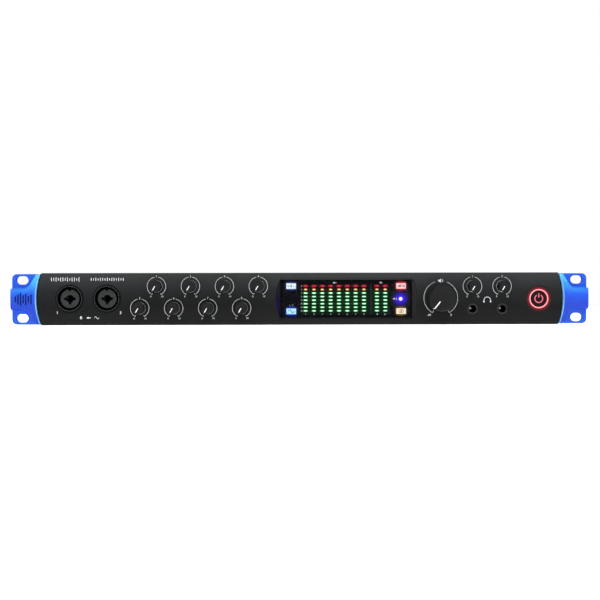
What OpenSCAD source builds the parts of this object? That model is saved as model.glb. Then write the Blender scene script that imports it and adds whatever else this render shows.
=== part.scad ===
/* [Rack format] */
// Width across the raised ends of the two rack ears
rack_w = 482.6; // [482:0.1:484]
// Height of the front panel, one rack unit less its clearance
panel_h = 43.6; // [43.2:0.1:44]
// Distance between the left and the right slot centres
slot_span = 465.1; // [464.5:0.1:465.6]
// Distance between the upper and the lower slot centres
slot_pitch = 31.75; // [31:0.05:32]
// Length of a slot
slot_len = 10; // [8:0.5:10]
// Height of a slot
slot_h = 7; // [6:0.5:7]

/* [Case] */
// Width across the side walls
case_w = 432; // [431:0.5:432.5]
// Depth from the front panel's face to the back of the rear panel
case_d = 140; // [140:1:160]
// Thickness of the sheet metal
sheet = 1.2; // [1:0.1:1.2]
// Thickness of the front panel
panel_t = 5; // [4.8:0.1:5]
// Depth of an ear's arm along the side wall
arm_len = 60; // [50:1:70]

/* [Knobs] */
// Distance between neighbouring gain knobs
gain_pitch = 28.3; // [27.5:0.1:28.6]
// Radius of a gain or phones knob
knob_r = 5.1; // [4.6:0.1:5.6]
// How far a gain or phones knob stands out of the front panel
knob_out = 12; // [11:0.5:13]
// Radius of the main knob
main_r = 11.6; // [10.5:0.1:12.4]
// How far the main knob stands out of the front panel
main_out = 14; // [13:0.5:16]
// Radius of a potentiometer's shaft
shaft_r = 3; // [2.8:0.1:3]
// Clockwise angle from twelve o'clock to a knob's pointer at its lower stop
rest_angle = 210; // [205:1:215]

/* [Meter] */
// Width of the meter window
window_w = 110.3; // [110:0.1:110.6]
// Height of the meter window
window_h = 31.4; // [31:0.1:31.8]
// Depth of the window's face below the front panel's face
window_drop = 1.7; // [1.5:0.1:1.8]
// Distance between neighbouring columns of lights
column_pitch = 7; // [6.8:0.05:7]
// Distance between neighbouring rows of lights
row_pitch = 2.98; // [2.9:0.01:3]
// Travel of a meter button
button_travel = 0.8; // [0.5:0.1:0.8]

/* [Rear sockets] */
// Distance between neighbouring microphone sockets
combo_pitch = 27; // [26.5:0.1:27]
// Distance between neighbouring line output columns
jack_pitch = 17; // [16:0.1:17]
// Distance between the two rows of line outputs
jack_rows = 19; // [18.5:0.1:19.5]

/* [Hidden] */
$fn = 72;
gap = 0.05;            // running clearance, and play between fitted pieces
bnc_out = 9;           // how far the word clock sockets stand out at the back
mid_z = panel_h / 2;

// Depths, from the front to the back
face_y = -(case_d + bnc_out - main_out) / 2;
back_y = face_y + case_d;
wall_y = face_y + panel_t;
inner_y = wall_y + sheet;
lens_y = face_y + window_drop;
lens_t = 1.6;
mask_y = lens_y + lens_t;
meter_board_y = wall_y + 2;
pot_board_y = face_y + 15;
board_t = 1.6;
rear_in_y = back_y - sheet;

// Heights inside the case
lid_top = panel_h - 0.1;
lid_z = lid_top - sheet;
board_z = 3.4;
board_top = board_z + board_t;

// Screws that hold the sheets together
case_screw_x = case_w / 2 - 6;
lid_screw_y = [wall_y + 30, wall_y + 95];
rear_screw_z = [8, panel_h - 8];
flange_in = 10;        // how far the side walls' folded flanges reach inwards
standoff_xy = [[-200, -26], [-100, -26], [0, -26], [96, -26], [-200, 36], [48, 36], [96, 36]];

// Front panel's outline: straight top and bottom, bowed ends
panel_mid_x = 219.9;
panel_end_x = 216.1;
bow = panel_mid_x - panel_end_x;
end_r = (pow(panel_h / 2, 2) + bow * bow) / (2 * bow);
end_cx = panel_mid_x - end_r;
edge = 1.2;            // chamfer along the panel's front edges

// Rack ear
ear_gap = 0.5;         // dark gap between an ear and the front panel's end
flange_x = rack_w / 2 - 0.2;
flange_h = 42.2;
flange_y = face_y + 3.8;
flange_back = flange_y + 3.8;
flange_corner = 4;
band_half = 9;         // half height of the raised band between the slots
flare_x = 220.5;       // where the raised surface meets the flange's top and bottom
band_x = 227.8;        // where the flare has narrowed to the band
crown_out = 2.4;       // how far the raised surface stands out of the front panel
crown_r = 84;
arm_x = case_w / 2 + 0.2;
arm_t = 3.3;
arm_h = 35.6;
arm_start = wall_y + 0.3;
arm_end = arm_start + arm_len;
ear_screw_y = [arm_start + 14, arm_end - 10];
ear_screw_z = [mid_z - 11, mid_z + 11];
screw_r = 1.5;
head_r = 2.9;

// Control positions, seen from the front
upper_z = 32.4;
lower_z = 14.1;
upper_gain_x = -120.3;
lower_gain_x = -134.3;
gain_xz = [for (i = [0:7]) i < 4 ? [upper_gain_x + i * gain_pitch, upper_z]
                                 : [lower_gain_x + (i - 4) * gain_pitch, lower_z]];
phones_x = [144, 168.9];
phones_z = 32;
phones_jack_z = 13.1;
main_xz = [117.4, 22.3];
power_xz = [199.8, 21.5];
front_combo_x = [-192.7, -161.7];
front_combo_z = 22.2;
power_r = 6.75;
power_ring_in = 7;
power_ring_out = 8.36;
power_travel = 2;

// Meter window and what shows in it
window_x = 38.15;
window_play = 0.1;
wing_l = -20.9;        // outermost point of the left bowed slope
wing_r = 97.3;         // outermost point of the right bowed slope
wing_l_r = 38;
wing_r_r = 73;
meter_x = [for (i = [0:7]) 4.2 + i * column_pitch];
main_meter_x = [64.1, 71.1];
meter_cols = concat(meter_x, main_meter_x);
red_z = 32.5;
amber_z = red_z - row_pitch;
green_z = [for (j = [2:7]) red_z - j * row_pitch];
green_size = [3.8, 1.4];
amber_size = [2.8, 1.6];
red_size = [4, 1.8];
sync_xz = [84.05, 21.6];
sync_r = 1.65;
button_size = [8.5, 5.4];
button_xz = [[-8, 32.4], [-7.9, 11.3], [84.2, 32.4], [84.2, 11.3]];
button_out = 0.6;      // how far a button stands out of the window
button_play = 0.25;
button_t = 2.8;
plunger_r = 1.5;
plunger_end = meter_board_y - 1.5;

// Combined microphone and jack sockets
combo_r = 11.5;
combo_well_r = 10;
combo_well = 18;
combo_body = [25, 26];
combo_depth = 32;
insert_r = 7.8;
insert_drop = 2.5;
plug_hole_r = 3.3;
pin_ring_r = 3.8;
pin_hole_r = 1.25;
pin_depth = 12;
combo_x = [for (i = [0:5]) -58 - i * combo_pitch];

// Jack sockets
jack_hole_r = 3.25;
jack_depth = 29;
jack_body_size = [14, 13.6];
front_nose_r = 4.4;
rear_nose_r = 4.6;
rear_nose_out = 3.2;
nut_t = 2;
line_x = [for (i = [0:4]) 36 - i * jack_pitch];
line_z = [mid_z - jack_rows / 2, mid_z + jack_rows / 2];

// Other rear sockets
stack_z = [12.2, 31.4];
bnc_x = 96;
rca_x = 78;
optical_x = 58;
midi_x = [138, 116];
usb_xz = [160, 12];
inlet_x = 189;
bnc_r = 4.85;
rca_r = 4.15;
midi_r = 8.4;
optical_size = 9.6;
inlet_flange = [31, 25];
inlet_body = [27.4, 20];
inlet_well = [24.4, 16.2];
inlet_well_d = 16;

// Pot bodies
bushing_r = 3.8;
small_pot = 11;
main_pot = 16;

// ---- Shared shapes ----

// A flat shape drawn in X and Z, from depth y0 to depth y1
module slab(y0, y1) {
    translate([0, y1, 0]) rotate([90, 0, 0]) linear_extrude(y1 - y0) children();
}

// A box from its low corner to its high corner
module block(low, high) {
    translate(low) cube(high - low);
}

// A rod along Y, centred on [x, z]
module rod(at, r, y0, y1) {
    translate([at[0], y1, at[1]]) rotate([90, 0, 0]) cylinder(r = r, h = y1 - y0);
}

// A rectangle with rounded corners, made of circles and squares
module round_rect(size, r) {
    union() {
        square([size[0] - 2 * r, size[1]], center = true);
        square([size[0], size[1] - 2 * r], center = true);
        for (sx = [-1, 1], sz = [-1, 1])
            translate([sx * (size[0] / 2 - r), sz * (size[1] / 2 - r)]) circle(r);
    }
}

// A slot with round ends, lying along X
module stadium(length, height) {
    union() {
        square([length - height, height], center = true);
        for (s = [-1, 1]) translate([s * (length - height) / 2, 0]) circle(height / 2);
    }
}

// Places a socket drawn with its mouth towards -Y at the front or the rear panel's face
module at_front(x, z) {
    translate([x, face_y, z]) children();
}
module at_rear(x, z) {
    translate([x, back_y, z]) rotate([0, 0, 180]) children();
}

// ---- Case ----

module wall_cutouts(y0, y1) {
    for (x = front_combo_x) rod([x, front_combo_z], combo_r + 0.2, y0, y1);
    for (p = gain_xz) rod(p, bushing_r + 0.1, y0, y1);
    for (x = phones_x) {
        rod([x, phones_z], bushing_r + 0.1, y0, y1);
        rod([x, phones_jack_z], front_nose_r + 0.1, y0, y1);
    }
    rod(main_xz, bushing_r + 0.1, y0, y1);
    rod(power_xz, power_ring_out + gap, y0, y1);
}

module side_vents(side) {
    for (i = [0:11])
        translate([side * case_w / 2, 20 + i * 4, mid_z]) rotate([90, 0, 90])
            linear_extrude(4 * sheet, center = true) rotate(90) stadium(22, 2);
}

// Bottom plate, and the front wall on it that the front panel and the controls are fixed to
module base_tray() {
    color("#1b1c1e") block([-case_w / 2, wall_y, 0], [case_w / 2, back_y, sheet]);
    color("#1b1c1e") difference() {
        block([-case_w / 2, wall_y, sheet + gap], [case_w / 2, inner_y, lid_z]);
        wall_cutouts(wall_y - 1, inner_y + 1);
        block([window_x - window_w / 2 - 0.5, wall_y - 1, mid_z - window_h / 2 + 1],
              [window_x + window_w / 2 + 0.5, inner_y + 1, mid_z + window_h / 2 - 1]);
    }
}

// Vented side walls, with flanges that the other sheets are screwed to
module side_walls() {
    color("#1b1c1e") for (s = [-1, 1]) difference() {
        union() {
            side_block(s, sheet, [inner_y, back_y], [sheet, lid_z]);
            side_block(s, flange_in, [inner_y, rear_in_y], [sheet, 2 * sheet]);
            side_block(s, flange_in, [rear_in_y - sheet, rear_in_y], [sheet, lid_z]);
            for (y = lid_screw_y)
                side_block(s, flange_in, [y - 5, y + 5], [lid_z - sheet, lid_z]);
        }
        side_vents(s);
        for (y = ear_screw_y, z = ear_screw_z)
            translate([s * case_w / 2, y, z]) rotate([0, 90, 0])
                cylinder(r = screw_r + 0.1, h = 6, center = true);
        for (z = rear_screw_z)
            rod([s * case_screw_x, z], screw_r + 0.1, rear_in_y - 3, rear_in_y + 1);
        for (y = lid_screw_y)
            translate([s * case_screw_x, y, lid_z - 3]) cylinder(r = screw_r + 0.1, h = 5);
    }
}

// A block against the inside of the case's left (-1) or right (1) face, reaching inwards by width
module side_block(side, width, ys, zs) {
    x = side * (case_w / 2 - width / 2);
    block([x - width / 2, ys[0], zs[0]], [x + width / 2, ys[1], zs[1]]);
}

module top_cover() {
    color("#1d1e20") difference() {
        block([-case_w / 2, wall_y, lid_z], [case_w / 2, back_y, lid_top]);
        for (s = [-1, 1], y = lid_screw_y)
            translate([s * case_screw_x, y, lid_z - 1]) cylinder(r = screw_r + 0.1, h = 4);
    }
}

module rear_panel() {
    color("#1a1b1d") difference() {
        block([-case_w / 2 + sheet + 0.1, rear_in_y, sheet + 0.1],
              [case_w / 2 - sheet - 0.1, back_y, lid_z - 0.1]);
        for (x = combo_x) rod([x, mid_z], combo_r + 0.2, rear_in_y - 1, back_y + 1);
        for (x = line_x, z = line_z) rod([x, z], rear_nose_r + 0.1, rear_in_y - 1, back_y + 1);
        for (x = midi_x) rod([x, mid_z], midi_r + 0.1, rear_in_y - 1, back_y + 1);
        for (z = stack_z) {
            rod([bnc_x, z], bnc_r + 0.1, rear_in_y - 1, back_y + 1);
            rod([rca_x, z], rca_r + 0.1, rear_in_y - 1, back_y + 1);
            slab(rear_in_y - 1, back_y + 1) translate([optical_x, z])
                square(optical_size + 0.2, center = true);
        }
        slab(rear_in_y - 1, back_y + 1) translate(usb_xz) stadium(9.4, 3.7);
        slab(rear_in_y - 1, back_y + 1) translate([inlet_x, mid_z])
            square(inlet_body + [0.2, 0.2], center = true);
        for (s = [-1, 1], z = rear_screw_z)
            rod([s * case_screw_x, z], screw_r + 0.1, rear_in_y - 1, back_y + 1);
    }
}

// Front panel: bowed ends, chamfered edges, a shallow recess round the meter window
module panel_ends() {
    union() {
        block([-end_cx, face_y - 1, 0], [end_cx, wall_y + 1, panel_h]);
        for (s = [-1, 1]) translate([s * end_cx, 0, mid_z]) {
            rod([0, 0], end_r, face_y + edge, wall_y, $fn = 180);
            translate([0, face_y + edge, 0]) rotate([90, 0, 0])
                cylinder(r1 = end_r, r2 = end_r - edge * 0.6, h = edge, $fn = 180);
        }
    }
}

module panel_profile() {
    cut = edge * 0.6;
    translate([-panel_mid_x - 1, 0, 0]) rotate([90, 0, 90])
        linear_extrude(2 * panel_mid_x + 2)
            polygon([[face_y, cut], [face_y + edge, 0], [wall_y, 0],
                     [wall_y, panel_h], [face_y + edge, panel_h], [face_y, panel_h - cut]]);
}

module window_recess() {
    half = window_h / 2 + window_play;
    low_x = window_x - window_w / 2 - window_play;
    high_x = window_x + window_w / 2 + window_play;
    slope = 1.6;       // width of the straight slopes above and below the window
    block([low_x, face_y - 1, mid_z - half], [high_x, wall_y + 1, mid_z + half]);
    // straight slopes
    translate([low_x, 0, 0]) rotate([90, 0, 90]) linear_extrude(high_x - low_x)
        polygon([[face_y - 1, mid_z - half - slope * (1 + 1 / window_drop)],
                 [lens_y, mid_z - half], [lens_y, mid_z + half],
                 [face_y - 1, mid_z + half + slope * (1 + 1 / window_drop)]]);
    // bowed slopes at the two ends
    intersection() {
        block([wing_l - 1, face_y - 1, mid_z - half], [window_x, lens_y, mid_z + half]);
        translate([wing_l + wing_l_r, lens_y, mid_z]) rotate([90, 0, 0])
            cylinder(r1 = wing_l_r - (low_x - wing_l), r2 = wing_l_r, h = window_drop, $fn = 180);
    }
    intersection() {
        block([window_x, face_y - 1, mid_z - half], [wing_r + 1, lens_y, mid_z + half]);
        translate([wing_r - wing_r_r, lens_y, mid_z]) rotate([90, 0, 0])
            cylinder(r1 = wing_r_r - (wing_r - high_x), r2 = wing_r_r, h = window_drop, $fn = 180);
    }
}

module front_panel() {
    color("#2b2c2e") difference() {
        intersection() {
            panel_ends();
            panel_profile();
        }
        wall_cutouts(face_y - 1, wall_y + 1);
        window_recess();
    }
}

// ---- Rack ears, drawn for the right side ----

module ear_outline() {
    difference() {
        union() {
            translate([panel_end_x, mid_z - flange_h / 2])
                square([flange_x - panel_end_x - flange_corner, flange_h]);
            translate([panel_end_x, mid_z - flange_h / 2 + flange_corner])
                square([flange_x - panel_end_x, flange_h - 2 * flange_corner]);
            for (s = [-1, 1])
                translate([flange_x - flange_corner, mid_z + s * (flange_h / 2 - flange_corner)])
                    circle(flange_corner);
        }
        translate([end_cx, mid_z]) circle(end_r + ear_gap, $fn = 180);
    }
}

module raised_outline() {
    half = flange_h / 2;
    difference() {
        polygon([[panel_end_x, mid_z - half], [flare_x, mid_z - half],
                 [band_x, mid_z - band_half], [rack_w / 2 - 4, mid_z - band_half],
                 [rack_w / 2, mid_z - band_half + 4], [rack_w / 2, mid_z + band_half],
                 [band_x, mid_z + band_half], [flare_x, mid_z + half],
                 [panel_end_x, mid_z + half]]);
        translate([end_cx, mid_z]) circle(end_r + ear_gap, $fn = 180);
    }
}

module ear() {
    difference() {
        union() {
            slab(flange_y, flange_back) ear_outline();
            // raised surface, rounded from top to bottom
            intersection() {
                slab(face_y - crown_out - 1, flange_back) raised_outline();
                translate([panel_end_x - 1, face_y - crown_out + crown_r, mid_z])
                    rotate([0, 90, 0]) cylinder(r = crown_r, h = 40, $fn = 180);
            }
            // web behind the front panel and arm along the case's side
            block([arm_x, arm_start, mid_z - arm_h / 2],
                  [flange_x - 8, flange_back, mid_z + arm_h / 2]);
            block([arm_x, arm_start, mid_z - arm_h / 2],
                  [arm_x + arm_t, arm_end, mid_z + arm_h / 2]);
        }
        for (s = [-1, 1])
            slab(flange_y - 6, flange_back + 1)
                translate([slot_span / 2, mid_z + s * slot_pitch / 2])
                    stadium(slot_len, slot_h);
        for (y = ear_screw_y, z = ear_screw_z) translate([arm_x - 1, y, z]) rotate([0, 90, 0]) {
            cylinder(r = screw_r + 0.15, h = arm_t + 2);
            translate([0, 0, 1 + arm_t - 1.8]) cylinder(r = head_r + 0.2, h = 3);
        }
    }
}

module right_ear() {
    color("#2f63f0") ear();
}

module left_ear() {
    color("#2f63f0") mirror([1, 0, 0]) ear();
}

// ---- Screws ----

// A screw along +Z: its head's top is at z = 0 and its shank hangs below
module screw(length) {
    difference() {
        union() {
            translate([0, 0, -1.6]) cylinder(r = head_r, h = 1.6);
            translate([0, 0, -1.6 - length]) cylinder(r = screw_r, h = length);
        }
        translate([0, 0, -1]) cylinder(r = 1.3, h = 2, $fn = 6);
    }
}

module screws() {
    color("#2a2a2c") for (s = [-1, 1]) {
        for (y = ear_screw_y, z = ear_screw_z)
            translate([s * (arm_x + arm_t - 0.2), y, z]) rotate([0, s * 90, 0]) screw(6);
        for (z = rear_screw_z)
            translate([s * case_screw_x, back_y + 1.6, z]) rotate([-90, 0, 0]) screw(5);
        for (y = lid_screw_y) translate([s * case_screw_x, y, lid_top]) low_head_screw();
    }
}

// A flat screw sunk in the lid: only its shank and a thin disc in the hole
module low_head_screw() {
    difference() {
        translate([0, 0, -5]) cylinder(r = screw_r, h = 5);
        translate([0, 0, -1]) cylinder(r = 0.8, h = 2, $fn = 6);
    }
}

// ---- Meter ----

module button_holes(play) {
    for (p = button_xz) translate(p) square(button_size + [2 * play, 2 * play], center = true);
}

module meter_window() {
    color("#08080c") slab(lens_y, mask_y) difference() {
        translate([window_x, mid_z]) square([window_w, window_h], center = true);
        button_holes(button_play);
    }
}

module light_shapes(size, heights) {
    for (x = meter_cols, z = heights) translate([x, z]) square(size, center = true);
}

module meter_mask() {
    color("#0c0c0e") slab(mask_y, wall_y) difference() {
        translate([window_x, mid_z]) square([window_w, window_h], center = true);
        button_holes(button_play);
        light_shapes(green_size + [2 * gap, 2 * gap], green_z);
        light_shapes(amber_size + [2 * gap, 2 * gap], [amber_z]);
        light_shapes(red_size + [2 * gap, 2 * gap], [red_z]);
        translate(sync_xz) circle(sync_r + gap);
    }
}

module green_leds() {
    color("#25e04a") slab(mask_y, meter_board_y) light_shapes(green_size, green_z);
}

module amber_leds() {
    color("#ffb52e") slab(mask_y, meter_board_y) light_shapes(amber_size, [amber_z]);
}

module red_leds() {
    color("#ff2b2b") slab(mask_y, meter_board_y) light_shapes(red_size, [red_z]);
}

module sync_led() {
    color("#3a3cff") rod(sync_xz, sync_r, mask_y, meter_board_y);
}

// A lit cap with a round plunger behind it that slides in its switch
module meter_button(at) {
    cap_y = lens_y - button_out;
    slab(cap_y, cap_y + button_t) translate(at) round_rect(button_size, 0.6);
    rod(at, plunger_r - gap, cap_y + button_t, plunger_end);
}

module phantom_button() {
    color("#f4f7ff") meter_button(button_xz[0]);
}

module line_button() {
    color("#bfe9ff") meter_button(button_xz[1]);
}

module mute_button() {
    color("#ff9db4") meter_button(button_xz[2]);
}

module mono_button() {
    color("#f6efb0") meter_button(button_xz[3]);
}

// ---- Power button ----

module power_ring() {
    color("#ffc2d0") difference() {
        rod(power_xz, power_ring_out, face_y - 0.5, inner_y + 1);
        rod(power_xz, power_ring_in, face_y - 2, inner_y + 2);
    }
}

module power_button() {
    color("#2a2b2d") {
        rod(power_xz, power_r, face_y - 0.2, wall_y);
        rod(power_xz, 2, wall_y, face_y + 12.5);
    }
}

module switch_bodies() {
    color("#3a3a3e") {
        for (p = button_xz) difference() {
            block([p[0] - 2.6, meter_board_y - 2.1, p[1] - 2.6],
                  [p[0] + 2.6, meter_board_y, p[1] + 2.6]);
            rod(p, plunger_r, meter_board_y - 3, plunger_end + button_travel + 0.2);
        }
        difference() {
            block([power_xz[0] - 6, face_y + 11, power_xz[1] - 6],
                  [power_xz[0] + 6, face_y + 26, power_xz[1] + 6]);
            rod(power_xz, 2 + gap, face_y + 10, face_y + 12.5 + power_travel + 0.5);
        }
    }
}

// ---- Knobs and their potentiometers ----

// A pot with its threaded bushing; the shaft runs in the bushing's bore
module pot(at, size) {
    difference() {
        union() {
            block([at[0] - size / 2, inner_y, at[1] - size / 2],
                  [at[0] + size / 2, pot_board_y, at[1] + size / 2]);
            rod(at, bushing_r, face_y + 3, inner_y);
        }
        rod(at, shaft_r + gap, face_y + 2, face_y + 12.5);
    }
}

module pot_bodies() {
    color("#4a4d52") {
        for (p = gain_xz) pot(p, small_pot);
        for (x = phones_x) pot([x, phones_z], small_pot);
        pot(main_xz, main_pot);
    }
}

// The side of a shaft that its flat leaves, as a half space turned with the pointer
module flat_side(at, y0, y1) {
    wide = 2 * shaft_r;
    slab(y0, y1) translate(at) rotate(-rest_angle)
        translate([-wide, -2 * wide + shaft_r - 0.9]) square(2 * wide);
}

// A shaft with a flat on the part that the knob is pressed on
module shaft(at, out) {
    tip = face_y - out + 2.5;
    intersection() {
        rod(at, shaft_r, tip, face_y + 12.2);
        union() {
            flat_side(at, tip - 1, face_y);
            block([at[0] - 5, face_y - 0.6, at[1] - 5], [at[0] + 5, face_y + 14, at[1] + 5]);
        }
    }
}

// A knob with a flatted bore; out is how far its face stands out of the front panel
module knob(at, r, out) {
    len = out - 0.6;
    difference() {
        translate([at[0], face_y - 0.6, at[1]]) rotate([90, 0, 0]) rotate_extrude()
            polygon([[0, 0], [r, 0], [r, len * 0.2], [r * 0.98, len - 0.6],
                     [r * 0.98 - 0.18, len - 0.18], [r * 0.98 - 0.6, len], [0, len]]);
        intersection() {
            rod(at, shaft_r + gap, face_y - out + 2.4, face_y);
            flat_side(at, face_y - out, face_y + 1);
        }
        // pointer groove over the face
        slab(face_y - out - 1, face_y - out + 0.3) translate(at) rotate(-rest_angle)
            translate([-0.45, r * 0.3]) square([0.9, r]);
    }
}

module gain_knob(i) {
    color("#161618") knob(gain_xz[i - 1], knob_r, knob_out);
}

module gain_shaft(i) {
    color("#8d9094") shaft(gain_xz[i - 1], knob_out);
}

module phones_knob(i) {
    color("#161618") knob([phones_x[i - 1], phones_z], knob_r, knob_out);
}

module phones_shaft(i) {
    color("#8d9094") shaft([phones_x[i - 1], phones_z], knob_out);
}

module main_knob() {
    color("#161618") knob(main_xz, main_r, main_out);
}

module main_shaft() {
    color("#8d9094") shaft(main_xz, main_out);
}

// ---- Sockets, drawn with the mouth towards -Y and the panel's face at y = 0 ----

module combo_housing(wall) {
    difference() {
        union() {
            rod([0, 0], combo_r, -0.6, wall);
            block([-combo_body[0] / 2, wall, -combo_body[1] / 2],
                  [combo_body[0] / 2, combo_depth, combo_body[1] / 2]);
        }
        rod([0, 0], combo_well_r, -1, combo_well);
        rod([0, 0], plug_hole_r, combo_well - 1, combo_depth - 1);
        rotate([90, 0, 0])
            cylinder(r1 = combo_well_r, r2 = combo_well_r + 0.7, h = 0.6 + gap);
    }
}

module combo_insert() {
    difference() {
        rod([0, 0], insert_r, insert_drop, combo_well);
        rod([0, 0], plug_hole_r, 0, combo_well + 1);
        for (a = [180, 270, 0])
            rod(pin_ring_r * [cos(a), sin(a)], pin_hole_r, 0, insert_drop + pin_depth);
        // key notch
        block([-1.1, 0, insert_r - 1.2], [1.1, combo_well - 2, insert_r + 1]);
    }
}

module combo_housings() {
    color("#1c1d1f") {
        for (x = front_combo_x) at_front(x, front_combo_z) combo_housing(panel_t + sheet);
        for (x = combo_x) at_rear(x, mid_z) combo_housing(sheet);
    }
}

module combo_inserts() {
    color("#4c4e52") {
        for (x = front_combo_x) at_front(x, front_combo_z) combo_insert();
        for (x = combo_x) at_rear(x, mid_z) combo_insert();
    }
}

module jack_body(nose_r, nose_out, wall) {
    difference() {
        union() {
            rod([0, 0], nose_r, -nose_out, wall);
            block([-jack_body_size[0] / 2, wall, -jack_body_size[1] / 2],
                  [jack_body_size[0] / 2, jack_depth + 1, jack_body_size[1] / 2]);
        }
        rod([0, 0], jack_hole_r, -nose_out - 1, jack_depth);
    }
}

module jack_bodies() {
    color("#222326") {
        for (x = phones_x)
            at_front(x, phones_jack_z) jack_body(front_nose_r, 0.3, panel_t + sheet);
        for (x = line_x, z = line_z)
            at_rear(x, z) jack_body(rear_nose_r, rear_nose_out, sheet);
    }
}

module jack_nuts() {
    color("#9a9da2") for (x = line_x, z = line_z) at_rear(x, z) difference() {
        rotate([90, 0, 0]) cylinder(r = 6.6, h = nut_t, $fn = 6);
        rod([0, 0], rear_nose_r + gap, -nut_t - 1, 1);
    }
}

module bnc_socket() {
    difference() {
        union() {
            rod([0, 0], bnc_r, -bnc_out, sheet);
            rotate([90, 0, 0]) cylinder(r = 7, h = 1.6, $fn = 6);
            block([-6, sheet, -6], [6, 16, 6]);
            // bayonet studs
            translate([0, -6.4, 0]) rotate([0, 90, 0])
                cylinder(r = 0.95, h = 2 * bnc_r + 1.6, center = true);
        }
        rod([0, 0], 4.05, -bnc_out - 1, -0.5);
    }
    difference() {
        rod([0, 0], 2.4, -bnc_out + 1, -0.5);
        rod([0, 0], 0.7, -bnc_out, -4);
    }
}

module bnc_sockets() {
    color("#b9bcc0") for (z = stack_z) at_rear(bnc_x, z) bnc_socket();
}

module rca_sockets() {
    color("#c8a24a") for (z = stack_z) at_rear(rca_x, z) difference() {
        union() {
            rod([0, 0], rca_r, -8, sheet);
            rod([0, 0], 5.6, -1, 0);
            block([-5.5, sheet, -6], [5.5, 13, 6]);
        }
        difference() {
            rod([0, 0], rca_r - 0.5, -9, -7);
            rod([0, 0], 3, -10, -6);
        }
        rod([0, 0], 1.6, -9, 4);
    }
}

module midi_sockets() {
    color("#1d1d20") for (x = midi_x) at_rear(x, mid_z) difference() {
        union() {
            rod([0, 0], midi_r, -0.5, sheet);
            block([-9.5, sheet, -9.5], [9.5, 14, 9.5]);
        }
        difference() {
            rod([0, 0], 7.6, -1, 8);
            rod([0, 0], 6.2, 0.8, 9);
        }
        for (a = [0:45:180]) rod(4.4 * [cos(a), sin(a)], 0.9, 0, 9);
    }
}

module optical_ports() {
    color("#26262a") for (z = stack_z) at_rear(optical_x, z) difference() {
        union() {
            slab(-0.5, sheet) square(optical_size, center = true);
            block([-optical_size / 2, sheet, -optical_size / 2],
                  [optical_size / 2, 14, optical_size / 2]);
        }
        slab(-1, 5.5) square(7, center = true);
    }
}

module usb_port() {
    color("#b4b7bb") at_rear(usb_xz[0], usb_xz[1]) {
        difference() {
            slab(-0.3, 7.5) stadium(8.94, 3.26);
            slab(-1, 6.5) stadium(8.3, 2.6);
        }
        block([-3.3, 0.8, -0.35], [3.3, 6.5, 0.35]);
    }
}

// Appliance inlet: a snap-in frame, a well and three flat pins
module power_inlet() {
    color("#18181a") at_rear(inlet_x, mid_z) {
        difference() {
            union() {
                slab(-1.6, 0) round_rect(inlet_flange, 2);
                slab(0, 22) square(inlet_body, center = true);
            }
            slab(-2, inlet_well_d - 1.6) inlet_well_outline();
        }
        for (p = [[-7, 2], [7, 2], [0, -2]])
            block([p[0] - 1, 4.4, p[1] - 2], [p[0] + 1, inlet_well_d - 1.6, p[1] + 2]);
    }
}

module inlet_well_outline() {
    w = inlet_well[0] / 2;
    h = inlet_well[1] / 2;
    c = 5;             // the cut corners above the pins
    polygon([[-w, -h], [w, -h], [w, h - c], [w - c, h], [c - w, h], [-w, h - c]]);
}

// ---- Boards and what is on them ----

module control_boards() {
    color("#1e5a34") {
        block([-20, meter_board_y, 4.5], [97, meter_board_y + board_t, 39.1]);
        block([-143, pot_board_y, 5], [-28, pot_board_y + board_t, 39.5]);
        block([104, pot_board_y, 21], [178, pot_board_y + board_t, 39.5]);
    }
}

module main_board() {
    color("#1e5a34") difference() {
        union() {
            block([-208, -33, board_z], [104, 68, board_top]);
            block([100, 34, board_z], [172, 68, board_top]);
        }
        for (p = standoff_xy) translate([p[0], p[1], 0]) cylinder(r = screw_r + 0.1, h = 10);
    }
}

module supply_board() {
    color("#a98a4e") block([108, -34, board_z], [208, 30, board_top]);
}

module supply_parts() {
    color("#d8c24a") {
        block([116, -26, board_top], [148, 4, 30]);
        for (x = [160, 180]) translate([x, 16, board_top]) cylinder(r = 8, h = 26);
        for (i = [0:5])
            block([156 + i * 5, -26, board_top + 4], [158 + i * 5, -2, 30]);
        block([156, -26, board_top], [183, -2, board_top + 4]);
        translate([200, 16, board_top]) cylinder(r = 5, h = 14);
    }
}

module standoffs() {
    color("#c9ccd0") {
        for (p = standoff_xy) translate([p[0], p[1], sheet]) difference() {
            cylinder(r = 3.2, h = board_z - sheet);
            translate([0, 0, 0.6]) cylinder(r = screw_r, h = 5);
        }
        for (x = [112, 202], y = [-30, 26])
            translate([x, y, sheet]) cylinder(r = 3, h = board_z - sheet);
    }
}

module ribbon_cables() {
    color("#b9bdc2") for (c = [[40, 30, meter_board_y + board_t], [-86, 24, pot_board_y + board_t]])
        folded_strip(c[0], c[1], c[2]);
}

// A flat cable that leaves a board at depth y0, turns down and ends on the main board
module folded_strip(x, width, y0) {
    t = 0.8;
    y1 = -24;
    z0 = 30;
    bend = 4;
    block([x - width / 2, y0, z0], [x + width / 2, y1 - bend, z0 + t]);
    translate([x - width / 2, y1 - bend, z0 + t - bend]) rotate([0, 90, 0]) rotate([0, 0, 90])
        linear_extrude(width) difference() {
            intersection() {
                circle(bend);
                square(bend + 1);
            }
            circle(bend - t);
        }
    block([x - width / 2, y1 - t, board_top], [x + width / 2, y1, z0 + t - bend]);
}

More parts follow.
